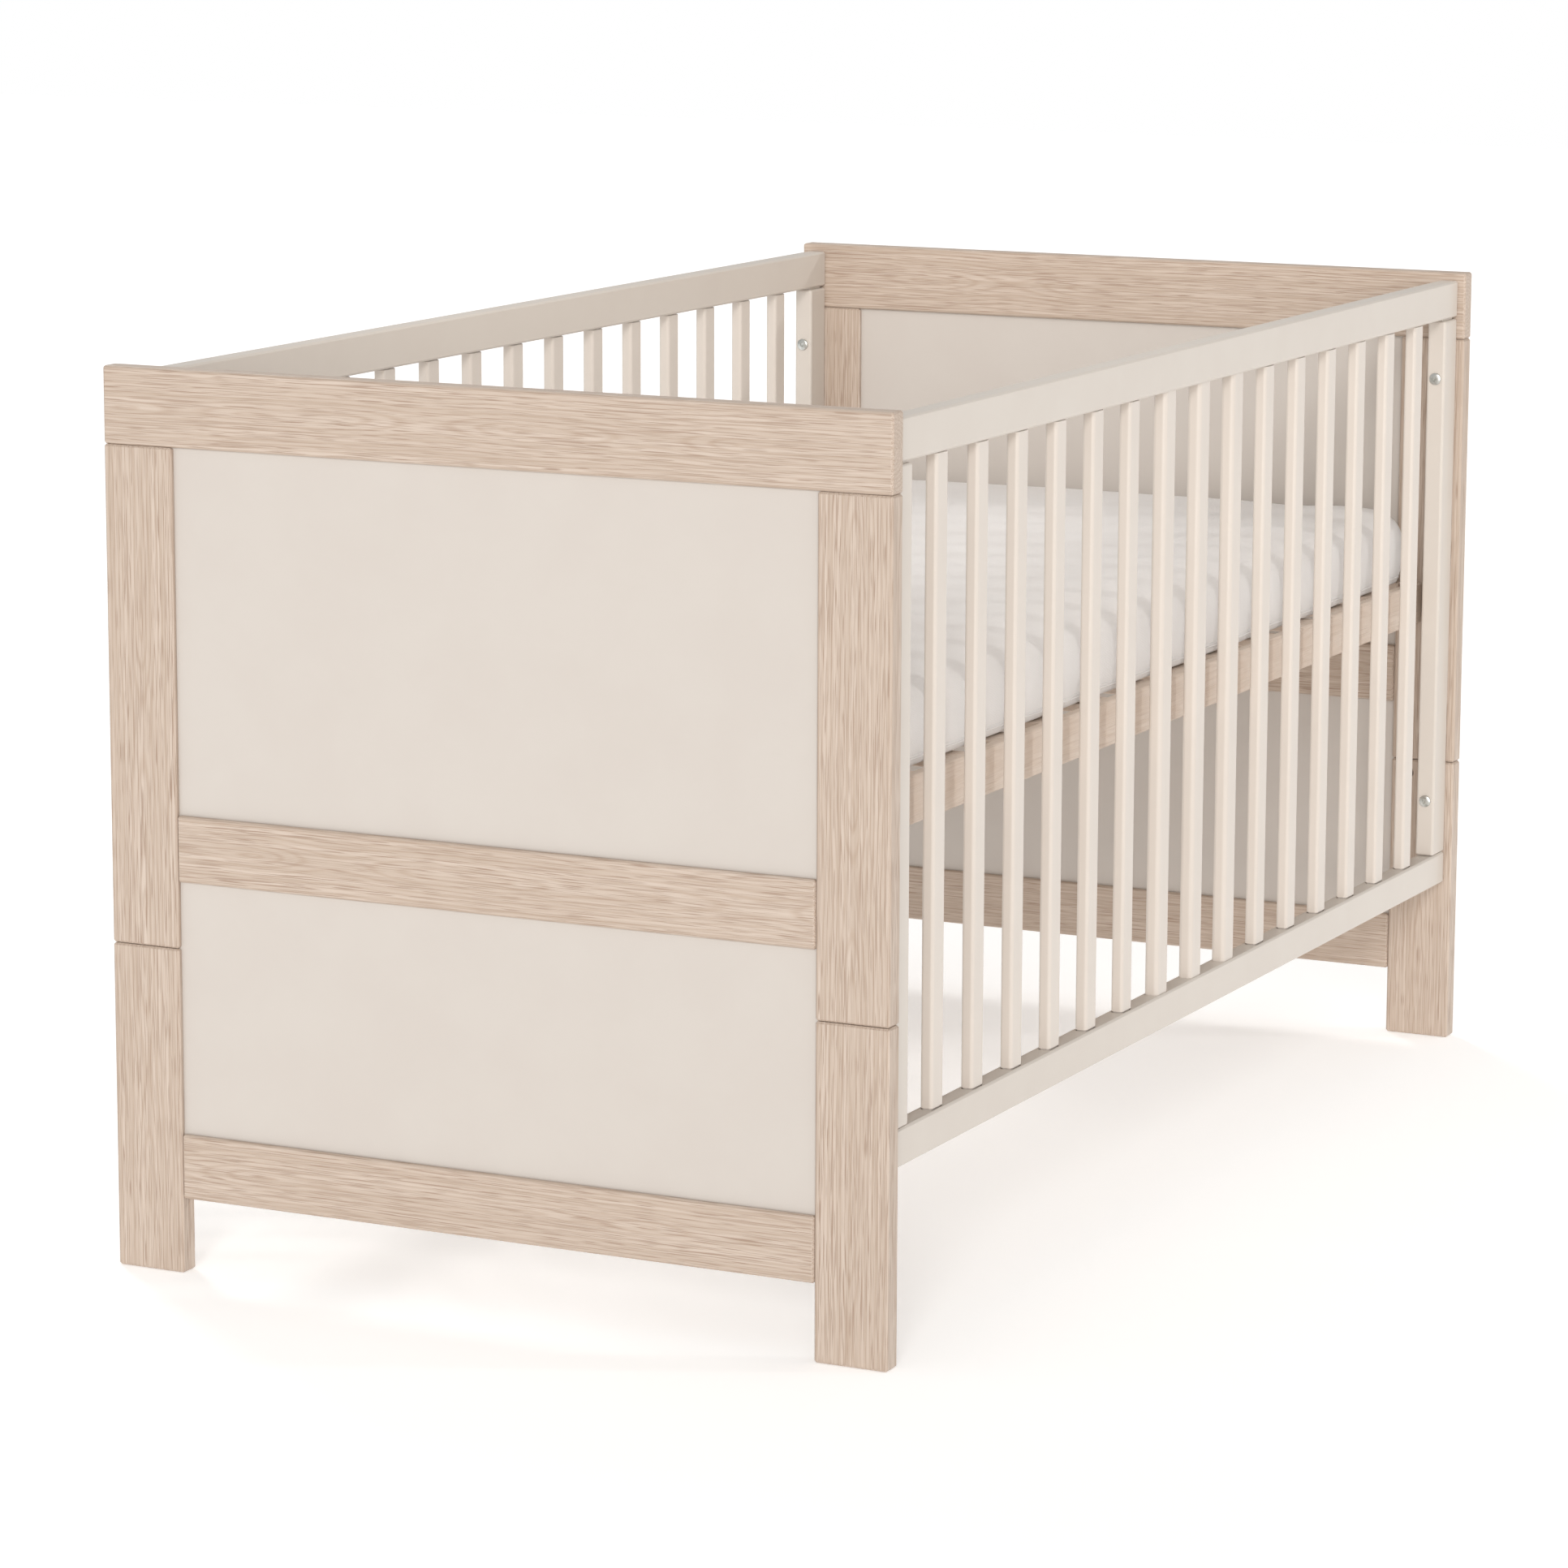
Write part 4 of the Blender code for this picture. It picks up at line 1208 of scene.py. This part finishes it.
@dataclass
class Mattress(Assembly):
    """A foam mattress in a plain white cotton cover, with a fine welt round its bottom edge."""

    corner: float = 0.036
    roll: float = 0.020
    low_roll: float = 0.007
    slack: float = 0.004
    voxel: float = 0.011
    frames: int = 18
    pressure: float = 3.0
    side_room: float = 0.006
    end_room: float = 0.0018
    top_room: float = 0.006
    most_swell: float = 0.008
    crown: float = 0.0045
    belly: float = 0.0028
    fold_lean: float = 0.35
    fold_depth: float = 0.0024
    valley_depth: float = 0.0030
    valley_width: float = 0.14
    welt: float = 0.0010
    welt_sides: int = 10
    seam_height: float = 0.0065
    seam_rise: float = 0.01
    seam_step: float = 0.012
    stitch_gap: float = 0.0033
    stitch_radius: float = 0.00028
    stitch_lift: float = 0.0001
    stitch_arch: float = 0.00025
    fill: float = 0.8

    def core(self) -> bpy.types.Object:
        """The mattress before it is swelled: a rounded slab a little smaller than its space."""
        low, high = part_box("mattress")
        self.low, self.high = low.copy(), high.copy()
        width, length = high.x - low.x - 2 * self.slack, high.y - low.y - 2 * self.slack * 0.6
        rows: list[tuple[float, Outline]] = []
        bottom, top = low.z, high.z - self.slack * 0.4
        arc = [math.pi / 2 * i / 8 for i in range(9)]
        for t in reversed(arc):
            inset = self.low_roll * (1 - math.cos(t))
            plan = rounded_outline(width - 2 * inset, length - 2 * inset, self.corner, 10)
            rows.append((bottom + self.low_roll * (1 - math.sin(t)), plan))
        for t in arc:
            inset = self.roll * (1 - math.cos(t))
            plan = rounded_outline(width - 2 * inset, length - 2 * inset, self.corner, 10)
            rows.append((top - self.roll * (1 - math.sin(t)), plan))
        bm = bmesh.new()
        add_loft(bm, Axis.Z, rows, (0.0, 0.0))
        piece = finish_mesh("mattress_cover", bm, COTTON.make())
        piece.modifiers.clear()
        remesh = piece.modifiers.new("even_cells", "REMESH")
        remesh.mode, remesh.voxel_size = "VOXEL", self.voxel
        self._apply(piece)
        return piece

    @staticmethod
    def _apply(piece: bpy.types.Object) -> None:
        """Turns the piece's modifiers into plain mesh."""
        graph = bpy.context.evaluated_depsgraph_get()
        mesh = bpy.data.meshes.new_from_object(piece.evaluated_get(graph))
        piece.modifiers.clear()
        piece.data = mesh

    def swell(self, piece: bpy.types.Object) -> None:
        """Blows the cover up a little with a cloth simulation, held where it lies on the slats.

        Args:
            piece: The mattress.
        """
        held = piece.vertex_groups.new(name="held")
        held.add([v.index for v in piece.data.vertices if v.co.z < self.low.z + 0.004], 1.0, "REPLACE")
        start = [v.co.copy() for v in piece.data.vertices]
        cloth = piece.modifiers.new("swell", "CLOTH")
        cloth.settings.quality = 5
        cloth.settings.mass = 0.3
        cloth.settings.use_pressure = True
        cloth.settings.uniform_pressure_force = self.pressure
        cloth.settings.effector_weights.gravity = 0.0
        cloth.settings.tension_stiffness = cloth.settings.compression_stiffness = 25.0
        cloth.settings.shear_stiffness = 8.0
        cloth.settings.bending_stiffness = 0.6
        cloth.settings.vertex_group_mass = "held"
        cloth.collision_settings.use_collision = False
        cloth.point_cache.frame_start, cloth.point_cache.frame_end = 1, self.frames
        scene = bpy.context.scene
        for step in range(1, self.frames + 1):
            scene.frame_set(step)
        self._apply(piece)
        for vertex, was in zip(piece.data.vertices, start):
            moved = vertex.co - was
            if moved.length > self.most_swell:
                vertex.co = was + moved * (self.most_swell / moved.length)
        scene.frame_set(1)

    def _crown(self, co: Vector) -> float:
        """How far the top bulges at a point: most in the middle, and nothing past the edges."""
        if abs(co.x) >= self.high.x or abs(co.y) >= self.high.y:
            return 0.0
        return self.crown * (1 - (co.x / self.high.x) ** 2) ** 0.5 * (1 - (co.y / self.high.y) ** 4)

    def _fold(self, co: Vector, normal: Vector) -> float:
        """How far the border swells or sinks at a point.

        Args:
            co: The point.
            normal: The way that the cover faces there.

        Returns:
            The distance outwards.
        """
        up = co.z - (self.low.z + self.high.z) / 2
        along = co.y if abs(normal.x) > abs(normal.y) else co.x
        lean = along + self.fold_lean * up
        fold = noise.noise(Vector((lean * 17.0, co.z * 2.5, 1.0 + co.x))) * self.fold_depth
        ridge = abs(noise.noise(Vector((lean * 15.0, co.z * 3.0, 8.0 + co.x))))
        fold -= self.valley_depth * max(0.0, self.valley_width - ridge) / self.valley_width
        return fold + self.belly * math.cos(up / (self.high.z - self.low.z) * math.pi) * 0.6

    def crease(self, piece: bpy.types.Object) -> None:
        """Adds the cover's soft folds and hollows, and keeps it inside its space.

        Args:
            piece: The mattress.
        """
        mesh = piece.data
        reach_x, reach_y = self.high.x + self.side_room, self.high.y + self.end_room
        facing = [vertex.normal.copy() for vertex in mesh.vertices]
        for vertex, normal in zip(mesh.vertices, facing):
            co = vertex.co.copy()
            side = 1.0 - min(1.0, abs(normal.z) * 1.4)
            if normal.z > 0.3:
                co.z += self._crown(co) * (normal.z - 0.3) / 0.7
                co.z += 0.0016 * noise.noise(Vector((co.x * 5.0, co.y * 3.2, 2.0)))
                co.z += 0.0009 * noise.noise(Vector((co.x * 9.0, co.y * 21.0, 5.0)))
            flat = Vector((normal.x, normal.y, 0.0))
            if flat.length > 1e-4:
                co += flat.normalized() * self._fold(co, normal) * side
            co.x = max(-reach_x, min(reach_x, co.x))
            co.y = max(-reach_y, min(reach_y, co.y))
            co.z = max(self.low.z, min(self.high.z + self.top_room, co.z))
            vertex.co = co
        mesh.update()
        fine = piece.modifiers.new("fine_cells", "SUBSURF")
        fine.levels = fine.render_levels = 1
        self._apply(piece)
        for vertex in piece.data.vertices:
            vertex.co.z = max(vertex.co.z, self.low.z)
        for polygon in piece.data.polygons:
            polygon.use_smooth = True

    def _seam(self, tree: BVHTree) -> tuple[list[Vector], list[Vector]]:
        """Finds where the bottom seam runs on the cover.

        Args:
            tree: The cover's surface.

        Returns:
            The seam's points, and the way out of the cover at each.
        """
        plan = rounded_outline(self.high.x - self.low.x + 0.02, self.high.y - self.low.y + 0.02, self.corner, 8)
        around: list[tuple[float, float]] = []
        for (ax, ay), (bx, by) in zip(plan, plan[1:] + plan[:1]):
            count = max(1, round(math.dist((ax, ay), (bx, by)) / self.seam_step))
            around += [(ax + (bx - ax) * i / count, ay + (by - ay) * i / count) for i in range(count)]
        height = self.low.z + self.seam_height
        points, outs = [], []
        for x, y in around:
            origin = Vector((x, y, height))
            inner = Vector((max(-0.25, min(0.25, origin.x)), max(-0.6, min(0.6, origin.y)), height + self.seam_rise))
            hit, normal, _, _ = tree.ray_cast(origin, (inner - origin).normalized())
            if hit is None:
                hit, normal, _, _ = tree.find_nearest(origin)
            points.append(hit)
            outs.append(normal)
        count = len(points)
        smooth = [(points[i - 1] + points[i] * 2 + points[(i + 1) % count]) / 4 for i in range(count)]
        return smooth, outs

    def _welt(self, seam: list[Vector], outs: list[Vector]) -> bpy.types.Object:
        """Lays a thin welt along the seam.

        Args:
            seam: The seam's points.
            outs: The way out of the cover at each.

        Returns:
            The welt.
        """
        bm = bmesh.new()
        rows = []
        for i, at in enumerate(seam):
            along = (seam[(i + 1) % len(seam)] - seam[i - 1]).normalized()
            out = (outs[i] - along * outs[i].dot(along)).normalized()
            up = along.cross(out)
            radius = self.welt * (1 + 0.10 * noise.noise(at * 60.0))
            middle_line = at + out * (radius * 0.35)
            angles = [2 * math.pi * k / self.welt_sides for k in range(self.welt_sides)]
            rows.append([bm.verts.new(middle_line + (out * math.cos(a) + up * math.sin(a)) * radius) for a in angles])
        for a, b in zip(rows, rows[1:] + rows[:1]):
            for k in range(self.welt_sides):
                m = (k + 1) % self.welt_sides
                bm.faces.new((a[k], a[m], b[m], b[k]))
        return finish_mesh("mattress_low_welt", bm, COTTON.make("_welt"))

    def _stitches(self, tree: BVHTree, seam: list[Vector], outs: list[Vector]) -> bpy.types.Object:
        """Sews the stitches just over the welt.

        Args:
            tree: The cover's surface.
            seam: The seam's points.
            outs: The way out of the cover at each.

        Returns:
            The stitches, as one piece.
        """
        bm = bmesh.new()
        for i, a in enumerate(seam):
            b = seam[(i + 1) % len(seam)]
            along = (b - a).normalized()
            out = (outs[i] - along * outs[i].dot(along)).normalized()
            over = along.cross(out)
            if over.z <= 0.0:
                over.negate()
            for k in range(3):
                ends = (a.lerp(b, (k + part) / 3) + over * self.stitch_gap for part in (0.2, 0.8))
                start, stop = (tree.find_nearest(point)[0] for point in ends)
                arch = start.lerp(stop, 0.5) + out * self.stitch_arch
                self._stitch(bm, (start, arch, stop), out, over)
        return finish_mesh("mattress_low_stitches", bm, SEWING.make())

    def _stitch(self, bm: bmesh.types.BMesh, line: tuple[Vector, ...], out: Vector, over: Vector) -> None:
        """Adds one stitch.

        Args:
            bm: The mesh that it goes into.
            line: The points that it runs through.
            out: The way out of the cover.
            over: The way up along the cover.
        """
        rings = []
        for at in line:
            rims = [(out * math.cos(t) + over * math.sin(t)) * self.stitch_radius for t in QUARTERS]
            rings.append([bm.verts.new(at + rim + out * self.stitch_lift) for rim in rims])
        for c, d in zip(rings, rings[1:]):
            for n in range(4):
                o = (n + 1) % 4
                bm.faces.new((c[n], c[o], d[o], d[n]))
        bm.faces.new(rings[0][::-1])
        bm.faces.new(rings[-1])

    def sew_welt(self, piece: bpy.types.Object) -> None:
        """Puts a welt on the cover round its bottom edge, with the stitches beside it.

        Args:
            piece: The mattress.
        """
        tree = BVHTree.FromPolygons([v.co for v in piece.data.vertices], [p.vertices for p in piece.data.polygons])
        seam, outs = self._seam(tree)
        self.seat(self._welt(seam, outs), Body.BASE.value, Slot.COTTON)
        self.seat(self._stitches(tree, seam, outs), Body.BASE.value, Slot.COTTON)

    def build(self) -> list[bpy.types.Object]:
        """Builds the mattress and returns its pieces."""
        piece = self.core()
        self.swell(piece)
        self.crease(piece)
        self.seat(piece, Body.BASE.value, Slot.COTTON, "mattress")
        self.sew_welt(piece)
        return self.pieces


# --- The studio --------------------------------------------------------------


@dataclass
class Studio:
    """A plain pale floor, soft lights and the camera."""

    camera_at: Point = (2.342, -4.905, 1.366)
    yaw: float = 26.148
    pitch: float = 10.471
    roll: float = 0.188
    lens: float = 128.21
    sky: float = 0.56
    floor_glow: float = 0.32

    def build_floor(self) -> None:
        """Lays a wide pale floor."""
        bm = bmesh.new()
        bmesh.ops.create_grid(bm, x_segments=24, y_segments=24, size=14.0)
        made = bpy.data.materials.new("studio_floor")
        made.use_nodes = True
        g = Graph(made.node_tree)
        shader = made.node_tree.nodes["Principled BSDF"]
        place = g.add("TexCoord").outputs["Object"]
        cloudy = g.ramp(g.speckle(place, 1.5, 3.0), 0.3, 0.7)
        paint = g.mix(cloudy, (0.955, 0.955, 0.955), (0.945, 0.945, 0.945))
        g.tree.links.new(paint, shader.inputs["Base Color"])
        shader.inputs["Roughness"].default_value = 0.9
        shader.inputs["Specular IOR Level"].default_value = 0.1
        shader.inputs["Emission Color"].default_value = (1.0, 1.0, 1.0, 1.0)
        shader.inputs["Emission Strength"].default_value = self.floor_glow
        floor = finish_mesh("studio_floor", bm, made)
        floor.location.z = -0.0006

    def _soft_sun(self, name: str, towards: Point, strength: float, spread: float, tint: Colour) -> None:
        """Hangs one broad, distant light that is the same over the whole crib.

        Args:
            name: Its name.
            towards: The direction that it lies in, from the crib.
            strength: Its strength in watts a square metre.
            spread: How wide it looks, in degrees.
            tint: Its colour.
        """
        data = bpy.data.lights.new(name, "SUN")
        data.energy, data.color, data.angle = strength, tint, math.radians(spread)
        light = bpy.data.objects.new(name, data)
        light.location = Vector(towards).normalized() * 6.0
        light.rotation_mode = "QUATERNION"
        light.rotation_quaternion = (-Vector(towards)).to_track_quat("-Z", "Y")
        bpy.context.scene.collection.objects.link(light)

    def _softbox(self, name: str, at: Point, aim: Point, size: Pair, power: float, tint: Colour) -> None:
        """Places one softbox near the bed.

        Args:
            name: Its name.
            at: Where it stands.
            aim: The point that it looks at.
            size: Its width and height.
            power: Its power in watts.
            tint: Its colour.
        """
        data = bpy.data.lights.new(name, "AREA")
        data.shape, (data.size, data.size_y) = "RECTANGLE", size
        data.energy, data.color = power, tint
        light = bpy.data.objects.new(name, data)
        light.visible_camera = light.visible_glossy = False
        light.location = at
        light.rotation_mode = "QUATERNION"
        light.rotation_quaternion = (Vector(aim) - Vector(at)).to_track_quat("-Z", "Y")
        bpy.context.scene.collection.objects.link(light)

    def build_lights(self) -> None:
        """Lights the crib from all round, and a little more from the front, the right and above."""
        world = bpy.data.worlds.new("studio")
        world.use_nodes = True
        sky = world.node_tree.nodes.get("Background") or world.node_tree.nodes.new("ShaderNodeBackground")
        sky.inputs["Color"].default_value = (1.0, 0.982, 0.958, 1.0)
        sky.inputs["Strength"].default_value = self.sky
        backdrop = world.node_tree.nodes.new("ShaderNodeBackground")
        backdrop.inputs["Color"].default_value = (1.0, 1.0, 1.0, 1.0)
        choose = world.node_tree.nodes.new("ShaderNodeMixShader")
        path = world.node_tree.nodes.new("ShaderNodeLightPath")
        out = world.node_tree.nodes.get("World Output") or world.node_tree.nodes.new("ShaderNodeOutputWorld")
        for source, target in (
            (path.outputs["Is Camera Ray"], choose.inputs[0]), (sky.outputs[0], choose.inputs[1]),
            (backdrop.outputs[0], choose.inputs[2]), (choose.outputs[0], out.inputs[0]),
        ):
            world.node_tree.links.new(source, target)
        bpy.context.scene.world = world
        self._soft_sun("front_light", (0.30, -0.90, 0.33), 1.00, 12.0, (1.0, 0.998, 0.992))
        self._soft_sun("window_light", (0.88, 0.40, 0.30), 0.42, 2.4, (1.0, 0.992, 0.982))
        self._soft_sun("low_light", (0.50, -0.86, 0.08), 1.10, 22.0, (1.0, 0.95, 0.905))
        self._softbox("over_light", (0.0, -0.35, 1.60), (0.0, 0.72, 0.66), (0.9, 0.4), 3.4, (1.0, 0.94, 0.88))
        self._soft_sun("back_light", (-0.62, 0.55, 0.56), 0.70, 12.0, (1.0, 0.99, 0.975))

    def build_camera(self) -> None:
        """Sets the camera up."""
        yaw, pitch, roll = (math.radians(a) for a in (self.yaw, self.pitch, self.roll))
        look = Vector((-math.sin(yaw) * math.cos(pitch), math.cos(yaw) * math.cos(pitch), -math.sin(pitch)))
        right = Vector((math.cos(yaw), math.sin(yaw), 0.0))
        up = right.cross(look)
        right, up = math.cos(roll) * right + math.sin(roll) * up, math.cos(roll) * up - math.sin(roll) * right
        data = bpy.data.cameras.new("camera")
        data.lens, data.sensor_width = self.lens, 36.0
        data.clip_start, data.clip_end = 0.05, 60.0
        camera = bpy.data.objects.new("camera", data)
        turn = Matrix((right, up, -look)).transposed().to_4x4()
        camera.matrix_world = Matrix.Translation(self.camera_at) @ turn
        bpy.context.scene.collection.objects.link(camera)
        bpy.context.scene.camera = camera

    def build(self) -> None:
        """Builds the floor, the lights and the camera."""
        self.build_floor()
        self.build_lights()
        self.build_camera()
        bpy.context.scene.view_settings.view_transform = "Standard"


def main() -> None:
    """Builds the crib and its studio in order, and reports each piece."""
    logging.basicConfig(level=logging.INFO, format="%(name)s: %(message)s")
    Studio().build()
    ends = [PanelledEnd(End.FOOT), PanelledEnd(End.HEAD)]
    sides = [BarredSide(Side.LEFT), BarredSide(Side.RIGHT)]
    assemblies: list[Assembly] = [*ends, *sides, SlattedBase(), Mattress()]
    for assembly in assemblies:
        for piece in assembly.build():
            log.info("%s: %s, %d faces", type(assembly).__name__, piece.name, len(piece.data.polygons))


if __name__ == "__main__":
    main()
